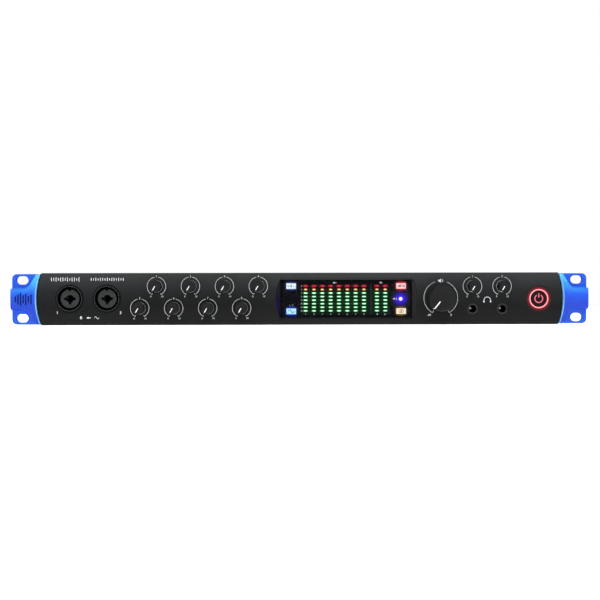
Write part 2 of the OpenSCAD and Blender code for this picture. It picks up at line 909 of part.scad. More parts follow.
base_tray();
side_walls();
top_cover();
rear_panel();
front_panel();
left_ear();
right_ear();
screws();
meter_window();
meter_mask();
green_leds();
amber_leds();
red_leds();
sync_led();
control_boards();
combo_housings();
combo_inserts();
jack_bodies();
jack_nuts();
bnc_sockets();
rca_sockets();
midi_sockets();
optical_ports();
usb_port();
power_inlet();
power_ring();
switch_bodies();
pot_bodies();
main_board();
supply_board();
supply_parts();
standoffs();
ribbon_cables();
main_knob();
main_shaft();
phantom_button();
line_button();
mute_button();
mono_button();
power_button();
for (i = [1:8]) {
    gain_knob(i);
    gain_shaft(i);
}
for (i = [1:2]) {
    phones_knob(i);
    phones_shaft(i);
}
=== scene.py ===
"""The looks of a one-unit rack audio interface, built round its CAD. Metres, +Z up, front towards -Y."""
from math import copysign, cos, hypot, pi, radians, sin, sqrt

import bmesh
import bpy
from mathutils import Matrix, Vector


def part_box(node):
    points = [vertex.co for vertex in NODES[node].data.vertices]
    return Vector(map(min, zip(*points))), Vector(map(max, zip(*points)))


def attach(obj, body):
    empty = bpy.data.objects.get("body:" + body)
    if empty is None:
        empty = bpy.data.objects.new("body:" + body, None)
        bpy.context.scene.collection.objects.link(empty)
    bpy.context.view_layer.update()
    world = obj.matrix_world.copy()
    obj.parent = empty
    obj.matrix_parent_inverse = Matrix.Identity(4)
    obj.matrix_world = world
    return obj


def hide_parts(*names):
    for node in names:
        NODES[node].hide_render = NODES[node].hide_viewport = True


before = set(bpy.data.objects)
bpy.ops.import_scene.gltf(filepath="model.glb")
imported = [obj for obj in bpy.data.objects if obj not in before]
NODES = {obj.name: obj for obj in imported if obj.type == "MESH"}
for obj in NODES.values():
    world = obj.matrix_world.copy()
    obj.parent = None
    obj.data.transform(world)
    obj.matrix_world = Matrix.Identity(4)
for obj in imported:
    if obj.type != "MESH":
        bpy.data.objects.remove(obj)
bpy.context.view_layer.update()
MM = 0.001
LOOKS = {}              # every finish by its short name, filled by make_looks and halo

# ---- Places that the whole script uses, read from the frame, in millimetres ----


def box_mm(node):
    low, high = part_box(node)
    return [v / MM for v in low], [v / MM for v in high]


PANEL_LOW, PANEL_HIGH = box_mm("front_panel")
FACE_Y = PANEL_LOW[1]
MID_Z = (PANEL_LOW[2] + PANEL_HIGH[2]) / 2
WINDOW_LOW, WINDOW_HIGH = box_mm("meter_window")
REAR_Y = box_mm("rear_panel")[1][1]
PRINT_T = 0.04          # how far printed marks stand off the surface
REST_ANGLE = 210        # clockwise from twelve o'clock, where a knob's pointer rests
MAIN_REST_ANGLE = 218   # the main knob's pointer, turned up a little from its lower tick
COMBO_X = -58           # first combined socket on the rear panel
COMBO_PITCH = 27
FRONT_SOCKETS = ((-192.7, 22.2), (-161.7, 22.2))
NUT_R = 6.6             # to the corners of a line output's nut
BUTTON_HOLE = (9.0, 5.9)


def centre_xz(node):
    low, high = box_mm(node)
    return (low[0] + high[0]) / 2, (low[2] + high[2]) / 2


# ---- Camera, light and floor ----


def add_object(name, data):
    thing = bpy.data.objects.new(name, data)
    bpy.context.scene.collection.objects.link(thing)
    return thing


def add_camera():
    camera = bpy.data.cameras.new("camera")
    camera.sensor_width = 36
    camera.lens = 64.6
    camera.clip_start = 0.01
    thing = add_object("camera", camera)
    distance = 0.9
    aim = Vector((-0.6, FACE_Y, MID_Z - 1.05)) * MM
    yaw, roll = radians(1.0), radians(0.12)
    thing.location = aim + Vector((-sin(yaw), -cos(yaw), 0)) * distance
    thing.rotation_euler = (radians(90), roll, -yaw)
    bpy.context.scene.camera = thing


def add_area(name, place, size, energy):
    """A rectangular lamp that points at the object."""
    light = bpy.data.lights.new(name, "AREA")
    light.shape = "RECTANGLE"
    light.size, light.size_y = size
    light.energy = energy
    thing = add_object(name, light)
    thing.location = place
    thing.rotation_euler = (Vector((0, 0, 0.02)) - Vector(place)).to_track_quat("-Z", "Y").to_euler()


def add_world():
    """White to the camera, a dim cool grey to the object."""
    world = bpy.data.worlds.new("studio")
    bpy.context.scene.world = world
    world.use_nodes = True
    nt = world.node_tree
    nt.nodes.clear()
    mix = nt.nodes.new("ShaderNodeMixShader")
    for i, (colour, strength) in enumerate((((0.9, 0.94, 1, 1), 0.2), ((1, 1, 1, 1), 1)), 1):
        background = nt.nodes.new("ShaderNodeBackground")
        background.inputs["Color"].default_value = colour
        background.inputs["Strength"].default_value = strength
        nt.links.new(background.outputs[0], mix.inputs[i])
    nt.links.new(nt.nodes.new("ShaderNodeLightPath").outputs["Is Camera Ray"], mix.inputs["Fac"])
    nt.links.new(mix.outputs[0], nt.nodes.new("ShaderNodeOutputWorld").inputs["Surface"])


def add_floor():
    half = 4.0
    mesh = bpy.data.meshes.new("floor")
    corners = [(-half, -half, 0), (half, -half, 0), (half, half, 0), (-half, half, 0)]
    mesh.from_pydata(corners, [], [(0, 1, 2, 3)])
    paper = Finish("floor_paper")
    mesh.materials.append(paper.set(colour=(0.86, 0.86, 0.86), rough=0.9, glow=(1, 1, 1), strength=0.8))
    add_object("floor", mesh)


def add_studio():
    scene = bpy.context.scene
    scene.view_settings.view_transform = "Standard"
    scene.view_settings.look = "None"
    add_world()
    add_floor()
    add_area("top_softbox", (0, -0.55, 0.75), (1.6, 0.5), 9)
    add_area("front_fill", (0, -1.7, 0.55), (2.2, 0.8), 5)
    add_area("back_fill", (0, 1.6, 1.1), (2.0, 0.8), 12)
    add_area("left_side", (-1.5, 0.1, 0.5), (0.8, 0.6), 4)
    add_area("right_side", (1.5, 0.1, 0.5), (0.8, 0.6), 4)


# ---- Materials ----


class Finish:
    """A material in the making: methods add nodes, and set() feeds the shader and returns the material."""

    INPUTS = {"colour": "Base Color", "rough": "Roughness", "metal": "Metallic", "spec": "Specular IOR Level",
              "coat": "Coat Weight", "coat_rough": "Coat Roughness", "alpha": "Alpha",
              "glow": "Emission Color", "strength": "Emission Strength"}

    def __init__(self, name):
        self.material = bpy.data.materials.new(name)
        self.material.use_nodes = True
        self.tree = self.material.node_tree
        self.shader = self.tree.nodes["Principled BSDF"]
        self.place = self.node("TexCoord").outputs["Object"]

    def feed(self, socket, value):
        """Gives an input a number, a colour or another node's output."""
        if isinstance(value, bpy.types.NodeSocket):
            self.tree.links.new(value, socket)
        else:
            socket.default_value = (*value, 1) if socket.type == "RGBA" else value

    def node(self, kind, **values):
        """A new node; the keywords are its inputs, with _ for a space."""
        node = self.tree.nodes.new("ShaderNode" + kind)
        for key, value in values.items():
            self.feed(node.inputs[key.replace("_", " ")], value)
        return node

    def set(self, **values):
        for key, value in values.items():
            self.feed(self.shader.inputs[self.INPUTS[key]], value)
        return self.material

    def noise(self, scale, detail=3.0, rough=0.55, stretch=None):
        """Noise over the object, its scale in features per metre."""
        place = self.node("Mapping", Vector=self.place, Scale=stretch).outputs[0] if stretch else self.place
        return self.node("TexNoise", Vector=place, Scale=scale, Detail=detail, Roughness=rough).outputs["Fac"]

    def ramp(self, source, stops):
        """A colour ramp whose stops are (place, colour)."""
        node = self.node("ValToRGB", Fac=source)
        elements = node.color_ramp.elements
        while len(elements) < len(stops):
            elements.new(0.5)
        for element, (place, colour) in zip(elements, stops):
            element.position = place
            element.color = (*colour, 1)
        return node.outputs["Color"]

    def map_range(self, source, low, high, to_low, to_high):
        ends = {"From_Min": low, "From_Max": high, "To_Min": to_low, "To_Max": to_high}
        return self.node("MapRange", Value=source, **ends).outputs["Result"]

    def vary(self, noise, low, high):
        """The middle of a noise's range, spread from low to high."""
        return self.map_range(noise, 0.3, 0.7, low, high)

    def math(self, operation, a, b):
        node = self.node("Math")
        node.operation = operation
        self.feed(node.inputs[0], a)
        self.feed(node.inputs[1], b)
        return node.outputs[0]

    def shifted(self, tone, noise, amount):
        """A tone that a noise moves up and down."""
        return self.math("ADD", tone, self.math("MULTIPLY", self.math("SUBTRACT", noise, 0.5), amount))

    def axis(self, letter):
        return self.node("SeparateXYZ", Vector=self.place).outputs[letter]

    def rise(self, low_mm, high_mm):
        """0 at the low height to 1 at the high one."""
        return self.map_range(self.axis("Z"), low_mm * MM, high_mm * MM, 0, 1)

    def bump(self, height, strength, distance):
        node = self.node("Bump", Height=height, Strength=strength, Distance=distance)
        self.feed(self.shader.inputs["Normal"], node.outputs["Normal"])


def scaled(colour, factor):
    return tuple(min(1, c * factor) for c in colour)


def grained(name, colour, rough, grain=1800, depth=0.00003, spread=0.25, metal=0.0, spec=0.5):
    """A finish whose colour, gloss and surface all vary a little, at the grain's own scale."""
    f = Finish(name)
    fine, broad = f.noise(grain), f.noise(grain / 40, 2.0)
    both = f.math("ADD", f.math("MULTIPLY", fine, 0.6), f.math("MULTIPLY", broad, 0.4))
    f.bump(fine, 0.4, depth)
    tone = f.ramp(both, [(0.3, scaled(colour, 1 - spread)), (0.7, scaled(colour, 1 + spread))])
    return f.set(colour=tone, rough=f.vary(both, rough * 0.85, min(1, rough * 1.15)), metal=metal, spec=spec)


def brushed(name, colour, rough, stretch):
    """Metal with fine marks drawn out along one axis."""
    f = Finish(name)
    marks = f.noise(900, 4.0, 0.6, stretch)
    f.bump(marks, 0.25, 0.00002)
    tone = f.ramp(marks, [(0.3, scaled(colour, 0.78)), (0.7, colour)])
    return f.set(colour=tone, rough=f.vary(marks, rough * 0.7, rough * 1.3), metal=1)


def panel_paint():
    """Satin black paint with a fine texture; its colour carries painted light, lighter towards the upper edge
    where the light from above falls and a little lighter at the bottom.
    """
    f = Finish("panel_paint")
    fine = f.noise(2600, 2.0)
    tone = f.shifted(f.rise(0, PANEL_HIGH[2]), fine, 0.12)
    # painted light: these stops brighten the black towards the top edge and slightly at the bottom
    stops = [(0.0, (0.0085, 0.0088, 0.009)), (0.35, (0.0042, 0.0045, 0.0048)), (0.65, (0.010, 0.011, 0.0115)),
             (1.0, (0.031, 0.032, 0.033))]
    f.bump(fine, 0.3, 0.00002)
    return f.set(colour=f.ramp(tone, stops), rough=f.vary(fine, 0.42, 0.54), spec=0.13)


def pearl_blue(name, stops):
    """Blue pearl paint with fine flakes under a clear coat; its colour follows the given stops from the
    casting's bottom to its top, so on the crown the stops paint a cyan highlight along the top.
    """
    f = Finish(name)
    flakes = f.noise(5200, 2.0)
    tone = f.shifted(f.rise(PANEL_LOW[2], PANEL_HIGH[2]), flakes, 0.16)
    tone = f.shifted(tone, f.noise(120, 2.0), 0.10)
    f.bump(flakes, 0.15, 0.00002)
    return f.set(colour=f.ramp(tone, stops), rough=f.vary(flakes, 0.3, 0.46), spec=0.22, coat=0.08,
                 coat_rough=0.18)


def lit(name, colour, strength, edge=None):
    """Translucent plastic lit from behind, a little uneven as moulded diffusers are."""
    f = Finish(name)
    glow = f.ramp(f.noise(700, 2.0), [(0.3, scaled(edge or colour, 0.86)), (0.7, colour)])
    return f.set(glow=glow, strength=strength, colour=scaled(colour, 0.08), rough=0.3, spec=0.2)


def halo(name, colour, centre_mm, radius, strength, core=0.0):
    """Light spreading in the surface round a lamp: it fades from the core's radius to the outer one."""
    f = Finish(name)
    away = f.node("VectorMath")
    away.operation = "DISTANCE"
    f.feed(away.inputs[0], f.place)
    f.feed(away.inputs[1], tuple(v * MM for v in centre_mm))
    fade = f.map_range(away.outputs["Value"], core * MM, radius * MM, 1, 0)
    glow = f.ramp(f.math("POWER", fade, 2.2), [(0, (0, 0, 0)), (1, colour)])
    LOOKS[name] = f.set(glow=glow, strength=strength, colour=(0.006, 0.006, 0.007), rough=0.6, spec=0.15)


def smoked_glass():
    """Clear acrylic, smoked, with a polished face and the faintest ripple."""
    f = Finish("smoked_acrylic")
    rough = f.vary(f.noise(60, 1.0), 0.1, 0.16)
    return f.set(colour=(0.002, 0.003, 0.006), alpha=0.12, spec=0.05, rough=rough)


def meter_mask_black():
    """Black mask with a painted green glow round the columns of lights, standing in for the light they spill
    on it.
    """
    f = Finish("mask_black")
    fine = f.noise(2200)
    low, high = box_mm("green_leds")
    near, far = 1, 3.5
    painted_led_glow = 1
    for letter, i in (("X", 0), ("Z", 2)):
        at = f.axis(letter)
        painted_led_glow = f.math("MULTIPLY", painted_led_glow, f.map_range(at, (low[i] - far) * MM, (low[i] - near) * MM, 0, 1))
        painted_led_glow = f.math("MULTIPLY", painted_led_glow, f.map_range(at, (high[i] + near) * MM, (high[i] + far) * MM, 1, 0))
    f.bump(fine, 0.2, 0.00002)
    tone = f.ramp(fine, [(0.3, (0.002, 0.002, 0.003)), (0.7, (0.005, 0.005, 0.007))])
    # painted light: green emission round the columns
    glow = f.ramp(painted_led_glow, [(0, (0, 0, 0)), (1, (0.0005, 0.012, 0.002))])
    return f.set(colour=tone, rough=0.6, spec=0.05, glow=glow, strength=1.0)


def wing_film():
    """Gloss black on the sloping ends of the meter's recess, with a violet sheen painted into its colour low
    down.
    """
    f = Finish("wing_black_painted_sheen")
    cloud = f.noise(90, 2.0)
    tone = f.shifted(f.rise(WINDOW_LOW[2], WINDOW_HIGH[2]), cloud, 0.3)
    # painted sheen: the violet band in these stops
    stops = [(0.05, (0.003, 0.003, 0.008)), (0.3, (0.008, 0.005, 0.035)), (0.5, (0.004, 0.003, 0.012)),
             (1, (0.003, 0.003, 0.005))]
    return f.set(colour=f.ramp(tone, stops), rough=f.vary(cloud, 0.15, 0.25), spec=0.08)


def circuit_board(name, colour):
    """Solder mask over fine tracks."""
    f = Finish(name)
    tracks = f.node("TexBrick", Vector=f.place, Scale=120, Color1=colour, Color2=scaled(colour, 0.55),
                    Mortar=scaled(colour, 1.7))
    return f.set(colour=tracks.outputs["Color"], rough=f.vary(f.noise(900), 0.25, 0.45))


def make_looks():
    # painted highlight: the crown's stops turn pale cyan towards the top, where the light from above falls,
    # and stay deep blue low down
    crown_painted_light_stops = [(0.05, (0.007, 0.045, 0.46)), (0.40, (0.007, 0.045, 0.48)), (0.58, (0.010, 0.078, 0.62)),
                 (0.75, (0.03, 0.24, 0.74)), (0.97, (0.08, 0.50, 0.86))]
    flat_stops = [(0.0, (0.016, 0.11, 0.62)), (0.5, (0.008, 0.07, 0.58)), (1.0, (0.010, 0.085, 0.62))]
    LOOKS.update({
        "case": grained("case_powder_coat", (0.018, 0.018, 0.02), 0.5, 1500, 0.00006),
        "panel": panel_paint(),
        "crown": pearl_blue("ear_crown_pearl_painted_light", crown_painted_light_stops),
        "flange": pearl_blue("ear_flange_pearl", flat_stops),
        # painted highlight: a paler blue for the ear's inner edge beside the panel
        "ear_edge_highlight": grained("ear_edge_blue", (0.22, 0.55, 0.98), 0.3, 3000, 0.00001, 0.12, spec=0.3),
        "engraving": grained("engraved_blue", (0.003, 0.012, 0.11), 0.6, spec=0.1),
        "black_screw": grained("black_zinc", (0.03, 0.03, 0.032), 0.35, 3000, 0.00001, metal=0.8),
        "glass": smoked_glass(),
        "mask": meter_mask_black(),
        # lit and shaded copies of one black plastic: the knob's sides are painted darker as shade, its face
        # lighter as lit
        "knob": grained("knob_black_painted_shade", (0.003, 0.003, 0.0035), 0.45, 3200, 0.000005, spec=0.08),
        # painted highlight: a light grey band on the collar's bevel stands in for the highlight arc there
        "knob_bevel_highlight": grained("knob_bevel_highlight", (0.34, 0.345, 0.35), 0.3, 3200, 0.000005, 0.3, spec=0.5),
        "knob_cap": grained("knob_black_painted_lit_face", (0.0085, 0.0088, 0.0095), 0.5, 3200, 0.00001, spec=0.13),
        "pointer": grained("pointer_white", (0.92, 0.92, 0.92), 0.4, 2500, 0.00001, 0.05),
        "print": grained("printed_grey", (0.56, 0.58, 0.58), 0.55, 4000, 0.00001, 0.08, spec=0.2),
        "print_white": grained("printed_white", (0.72, 0.74, 0.75), 0.55, 4000, 0.00001, 0.08),
        "dim_print": grained("dim_print", (0.085, 0.078, 0.074), 0.6, 4000, 0.00001, 0.1, spec=0.1),
        "wing": wing_film(),
        "wing_plain": grained("wing_plain", (0.006, 0.006, 0.0065), 0.4, 900, 0.00001, spec=0.2),
        "legend": grained("cap_legend", (0.006, 0.01, 0.02), 0.6, 4000, 0.00001, 0.1),
        "socket": grained("socket_black", (0.003, 0.003, 0.0035), 0.4, 2200, 0.00001, spec=0.06),
        # painted highlight: a lighter grey copy of the socket's black for the raised rim
        "socket_rim_highlight": grained("socket_rim_highlight", (0.05, 0.051, 0.053), 0.26, 2600, 0.00001, spec=0.6),
        # painted highlight: the phones sockets' bevelled mouths in a lighter grey than their black
        "mouth": grained("jack_mouth_highlight", (0.02, 0.021, 0.022), 0.35, 2600, 0.00001, spec=0.35),
        "insert": grained("insert_grey", (0.024, 0.026, 0.027), 0.55, 2400, 0.00003, spec=0.25),
        "contact": brushed("contact_tin", (0.24, 0.24, 0.25), 0.4, (1, 0.1, 1)),
        "nut": brushed("nut_nickel", (0.62, 0.62, 0.63), 0.32, (1, 0.2, 1)),
        "chrome": brushed("bnc_nickel", (0.75, 0.75, 0.77), 0.2, (1, 0.15, 1)),
        "gold": brushed("rca_gold", (0.86, 0.6, 0.22), 0.25, (1, 0.15, 1)),
        "steel": brushed("stamped_steel", (0.55, 0.56, 0.58), 0.35, (0.2, 1, 1)),
        "shaft": brushed("turned_aluminium", (0.66, 0.67, 0.69), 0.3, (1, 0.1, 1)),
        "inlet": grained("inlet_black", (0.014, 0.014, 0.015), 0.28, 1600, 0.00002),
        "switch": grained("switch_grey", (0.05, 0.05, 0.055), 0.45),
        "coil": grained("coil_tape", (0.6, 0.48, 0.10), 0.4, 500, 0.00008),
        "brass": brushed("standoff_brass", (0.7, 0.55, 0.25), 0.35, (1, 1, 0.1)),
        "cable": grained("flat_cable", (0.42, 0.43, 0.45), 0.5, 1400, 0.00003),
        "board": circuit_board("board_green", (0.012, 0.10, 0.035)),
        "board_tan": circuit_board("board_tan", (0.32, 0.2, 0.08)),
        "green": lit("light_green_edge", (0.006, 0.30, 0.05), 1.0),
        "green_core": lit("light_green_core", (0.62, 1.0, 0.68), 2.6, (0.42, 0.95, 0.5)),
        "amber": lit("light_amber_edge", (0.42, 0.07, 0.004), 1.0),
        "amber_core": lit("light_amber_core", (1.0, 0.72, 0.36), 2.0, (1.0, 0.55, 0.2)),
        "red": lit("light_red_edge", (0.28, 0.002, 0.008), 1.0),
        "red_core": lit("light_red_core", (1.0, 0.04, 0.10), 1.0, (0.8, 0.02, 0.06)),
        "blue": lit("light_blue", (0.20, 0.12, 1.0), 2.6),
        "white_core": lit("light_white_core", (0.92, 0.90, 1.0), 3.2),
        "cap_white": lit("cap_white", (0.80, 0.90, 1.0), 1.0, (0.66, 0.82, 1.0)),
        "cap_cyan": lit("cap_cyan", (0.50, 0.86, 1.0), 1.0, (0.36, 0.74, 1.0)),
        "cap_pink": lit("cap_pink", (1.0, 0.66, 0.70), 1.0, (1.0, 0.45, 0.52)),
        "cap_cream": lit("cap_cream", (1.0, 0.90, 0.68), 1.0, (0.98, 0.80, 0.50)),
        "cap_white_rim": lit("cap_white_rim", (0.10, 0.20, 0.45), 0.5),
        "cap_cyan_rim": lit("cap_cyan_rim", (0.02, 0.14, 0.6), 0.6),
        "cap_pink_rim": lit("cap_pink_rim", (0.7, 0.02, 0.05), 0.6),
        "cap_cream_rim": lit("cap_cream_rim", (0.4, 0.2, 0.05), 0.5),
        "ring": lit("ring_pink", (1.0, 0.66, 0.70), 0.98, (1.0, 0.56, 0.62)),
        "ring_side": lit("ring_red_side", (1.0, 0.05, 0.09), 0.9),
        "symbol": lit("symbol_pink", (1.0, 0.20, 0.28), 0.85),
        "power_cap": grained("power_cap", (0.012, 0.0025, 0.003), 0.45, 2600, 0.00001, spec=0.1),
    })


# ---- Piece builders; shapes are drawn in millimetres ----


def finish_piece(obj, look, body, smooth):
    """Gives a piece its finish, and says which body carries it."""
    if look is not None:
        obj.data.materials.append(LOOKS[look])
    if smooth:
        obj.data.shade_smooth()
    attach(obj, body)
    return obj


def mend(mesh, weld):
    """Makes the normals point outwards, after welding points that meet if asked."""
    bm = bmesh.new()
    bm.from_mesh(mesh)
    if weld:
        bmesh.ops.remove_doubles(bm, verts=bm.verts, dist=1e-7)
    bmesh.ops.recalc_face_normals(bm, faces=bm.faces)
    bm.to_mesh(mesh)
    bm.free()


def mesh_piece(name, points, faces, look, smooth=True, body="root"):
    """A piece from points in millimetres."""
    mesh = bpy.data.meshes.new(name)
    mesh.from_pydata([tuple(v * MM for v in p) for p in points], [], faces)
    mend(mesh, False)
    return finish_piece(add_object(name, mesh), look, body, smooth)


def sharpen(obj, degrees=32):
    """Keeps edges sharper than the angle crisp on a smooth-shaded piece."""
    obj.data.shade_smooth()
    obj.data.set_sharp_from_angle(angle=radians(degrees))
    return obj


def lathe(name, at, profile, look, steps=72, facing=-1, body="root"):
    """Turns a closed profile of (radius, height out of the panel) about Y through at = (x, y0, z)."""
    x0, y0, z0 = at
    points, rings = [], []
    for radius, out in profile:
        count = steps if radius > 0 else 1
        rings.append(range(len(points), len(points) + count))
        for i in range(count):
            a = 2 * pi * i / steps
            points.append((x0 + radius * sin(a), y0 + facing * out, z0 + radius * cos(a)))
    faces = []
    closed = profile[0][0] > 0 and profile[-1][0] > 0
    for a, b in list(zip(rings, rings[1:])) + ([(rings[-1], rings[0])] if closed else []):
        if len(a) == len(b) == 1:
            continue
        for i in range(steps):
            j = (i + 1) % steps
            if len(a) == 1:
                faces.append((a[0], b[i], b[j]))
            elif len(b) == 1:
                faces.append((a[i], b[0], a[j]))
            else:
                faces.append((a[i], b[i], b[j], a[j]))
    return sharpen(mesh_piece(name, points, faces, look, body=body))


def grid_faces(across, up):
    """Faces of a closed solid over two grids of across x up points, the front's first and then the back's."""
    layer = across * up
    faces = []
    for j in range(up - 1):
        for i in range(across - 1):
            a = j * across + i
            quad = (a, a + 1, a + across + 1, a + across)
            faces += [quad, tuple(layer + k for k in reversed(quad))]
    rim = ([j * across for j in range(up)] + [(up - 1) * across + i for i in range(1, across)]
           + [j * across + across - 1 for j in range(up - 2, -1, -1)] + list(range(across - 2, 0, -1)))
    return faces + [(a, b, b + layer, a + layer) for a, b in zip(rim, rim[1:] + rim[:1])]


def arc_points(cx, cz, r, start, end, steps):
    """Points of an arc; angles in degrees, clockwise from twelve o'clock."""
    return [(cx + r * sin(radians(start + (end - start) * i / steps)),
             cz + r * cos(radians(start + (end - start) * i / steps))) for i in range(steps + 1)]


def rounded_rect(cx, cz, width, height, r, steps=6):
    points = []
    for sx, sz, start in ((1, 1, 0), (1, -1, 90), (-1, -1, 180), (-1, 1, 270)):
        x, z = cx + sx * (width / 2 - r), cz + sz * (height / 2 - r)
        points += arc_points(x, z, r, start, start + 90, steps)
    return points


def stadium_outline(cx, cz, length, height, steps=12):
    half = (length - height) / 2
    return (arc_points(cx + half, cz, height / 2, 0, 180, steps)
            + arc_points(cx - half, cz, height / 2, 180, 360, steps))


def curve_mesh(name, curve):
    """The mesh of a curve, which goes."""
    flat = add_object(name + "_flat", curve)
    bpy.context.view_layer.update()
    mesh = bpy.data.meshes.new_from_object(flat.evaluated_get(bpy.context.evaluated_depsgraph_get()))
    bpy.data.objects.remove(flat)
    bpy.data.curves.remove(curve)
    return mesh


def plate(name, outlines, y0, y1, look, edge=0.0, body="root"):
    """A flat plate with rounded edges between two depths; every outline after the first is a hole."""
    curve = bpy.data.curves.new(name, "CURVE")
    curve.dimensions = "2D"
    curve.fill_mode = "BOTH"
    for outline in outlines:
        spline = curve.splines.new("POLY")
        spline.points.add(len(outline) - 1)
        for point, (x, z) in zip(spline.points, outline):
            point.co = (x * MM, z * MM, 0, 1)
        spline.use_cyclic_u = True
    curve.extrude = ((y1 - y0) / 2 - edge) * MM
    curve.bevel_depth = edge * MM
    curve.bevel_resolution = 2
    curve.offset = -edge * MM
    mesh = curve_mesh(name, curve)
    mesh.transform(Matrix.Translation((0, (y0 + y1) / 2 * MM, 0)) @ Matrix.Rotation(radians(90), 4, "X"))
    mend(mesh, True)
    mesh.name = name
    mesh.materials.clear()
    return sharpen(finish_piece(add_object(name, mesh), look, body, False))


def strip(line, width):
    """The closed outline of a stroke of that width along a line of points."""
    left, right = [], []
    for i, (x, z) in enumerate(line):
        ax, az = line[max(i - 1, 0)]
        bx, bz = line[min(i + 1, len(line) - 1)]
        length = hypot(bx - ax, bz - az)
        nx, nz = -(bz - az) / length, (bx - ax) / length
        left.append((x + nx * width / 2, z + nz * width / 2))
        right.append((x - nx * width / 2, z - nz * width / 2))
    return left + right[::-1]


def thin_solid(outline, y_front, y_back, points, faces):
    """Adds a flat closed solid from an outline to a mesh in the making."""
    n = len(outline)
    start = len(points)
    points += [(x, y_front, z) for x, z in outline] + [(x, y_back, z) for x, z in outline]
    faces.append(tuple(range(start, start + n)))
    faces.append(tuple(range(start + 2 * n - 1, start + n - 1, -1)))
    for i in range(n):
        j = (i + 1) % n
        faces.append((start + i, start + n + i, start + n + j, start + j))


def strokes(name, lines, width, y_surface, look, thick=PRINT_T, body="root"):
    """Printed lines on a surface that faces -Y, as one piece of thin closed solids."""
    points, faces = [], []
    for line in lines:
        n = len(line)
        outline = strip(line, width)
        start = len(points)
        points += [(x, y_surface - thick, z) for x, z in outline]
        points += [(x, y_surface, z) for x, z in outline]
        for i in range(n - 1):
            a, b, c, d = i, i + 1, 2 * n - 2 - i, 2 * n - 1 - i
            faces.append((start + a, start + b, start + c, start + d))
            faces.append((start + 2 * n + d, start + 2 * n + c, start + 2 * n + b, start + 2 * n + a))
        for i in range(2 * n):
            j = (i + 1) % (2 * n)
            faces.append((start + i, start + 2 * n + i, start + 2 * n + j, start + j))
    mesh_piece(name, points, faces, look, False, body)


def patches(name, outlines, y_surface, look, thick=PRINT_T, body="root"):
    """Printed or lit flat shapes on a surface that faces -Y, as one piece of thin closed solids."""
    points, faces = [], []
    for outline in outlines:
        thin_solid(outline, y_surface - thick, y_surface, points, faces)
    mesh_piece(name, points, faces, look, False, body)


def figures(name, labels, size, y_surface, look, side=-1):
    """Numbers on a surface that faces -Y (side -1) or +Y (side 1); labels are (text, x, z), each centred."""
    turn = Matrix.Rotation(radians(90), 4, "X")
    if side > 0:
        turn = Matrix.Rotation(radians(180), 4, "Z") @ turn
    bm = bmesh.new()
    for text, x, z in labels:
        curve = bpy.data.curves.new(name, "FONT")
        curve.body = text
        curve.size = size * MM
        curve.align_x = curve.align_y = "CENTER"
        curve.resolution_u = 3
        curve.extrude = PRINT_T / 2 * MM
        curve.offset = 0.02 * MM
        mesh = curve_mesh(name, curve)
        mesh.transform(Matrix.Translation((x * MM, (y_surface + side * PRINT_T / 2) * MM, z * MM)) @ turn)
        bm.from_mesh(mesh)
        bpy.data.meshes.remove(mesh)
    bmesh.ops.remove_doubles(bm, verts=bm.verts, dist=1e-7)
    joined = bpy.data.meshes.new(name)
    bm.to_mesh(joined)
    bm.free()
    joined.materials.clear()
    finish_piece(add_object(name, joined), look, "root", False)


def round_edges(node, width_mm):
    """A small rounding on a CAD node's sharp edges, so that they catch the light."""
    obj = NODES[node]
    modifier = obj.modifiers.new("edge_rounding", "BEVEL")
    modifier.width = width_mm * MM
    modifier.segments = 2
    modifier.limit_method = "ANGLE"
    modifier.angle_limit = radians(40)
    modifier.harden_normals = False


def dress(node, look):
    mesh = NODES[node].data
    mesh.materials.clear()
    mesh.materials.append(LOOKS[look])


# ---- Rack ears ----

END_CX, END_R, END_GAP = 155.47, 64.43, 0.5     # the panel's bowed end, and the gap beside it
FLANGE_HALF, CORNER, EAR_WALL = 21.1, 4.0, 3.8
BAND_HALF, FLARE_X, BAND_X = 9.0, 220.5, 227.8  # the raised band, and where it starts and stops widening
CROWN_R, CROWN_OUT = 84.0, 2.4                  # its crowned face
SLOT_X, SLOT_Z, SLOT_LEN, SLOT_H = 232.55, 15.875, 10.0, 7.0
MOTIF_BAR_W = 1.2
EAR_OUTER = box_mm("right_ear")[1][0]


def smooth_max(a, b, k):
    h = max(k - abs(a - b), 0) / k
    return max(a, b) + h * h * k / 4


def smooth_step(t):
    t = min(max(t, 0), 1)
    return t * t * (3 - 2 * t)


def ear_inner(z):
    return END_CX + sqrt((END_R + END_GAP) ** 2 - z * z)


def ear_outer(z):
    """The outer edge's x at a height from the middle: flange, rounded corners and the band's own end."""
    band_lip = 0.2
    flange_x = EAR_OUTER - band_lip
    into = abs(z) - (FLANGE_HALF - CORNER)
    x = flange_x if into <= 0 else flange_x - CORNER + sqrt(max(CORNER * CORNER - into * into, 0))
    ease = (BAND_HALF + 0.4 - z) / 0.8 if z > 0 else (z + BAND_HALF + 0.4) / 3.4
    return x + band_lip * smooth_step(ease)


def raised_distance(x, z):
    """How far inside the raised surface a point is: it widens beside the panel and narrows to the band."""
    dx = BAND_X - FLARE_X
    dz = FLANGE_HALF - BAND_HALF
    length = hypot(dx, dz)
    flare = -((x - FLARE_X) * dz - (FLANGE_HALF - abs(z)) * dx) / length
    return smooth_max(BAND_HALF - abs(z), flare, 4.0)


def slot_distance(x, z):
    half = (SLOT_LEN - SLOT_H) / 2
    dx = max(abs(x - SLOT_X) - half, 0)
    return hypot(dx, abs(z) - SLOT_Z) - SLOT_H / 2


def fillet(distance, r):
    if distance >= r:
        return 0
    d = max(distance, 0)
    return r - sqrt(max(r * r - (r - d) ** 2, 0))


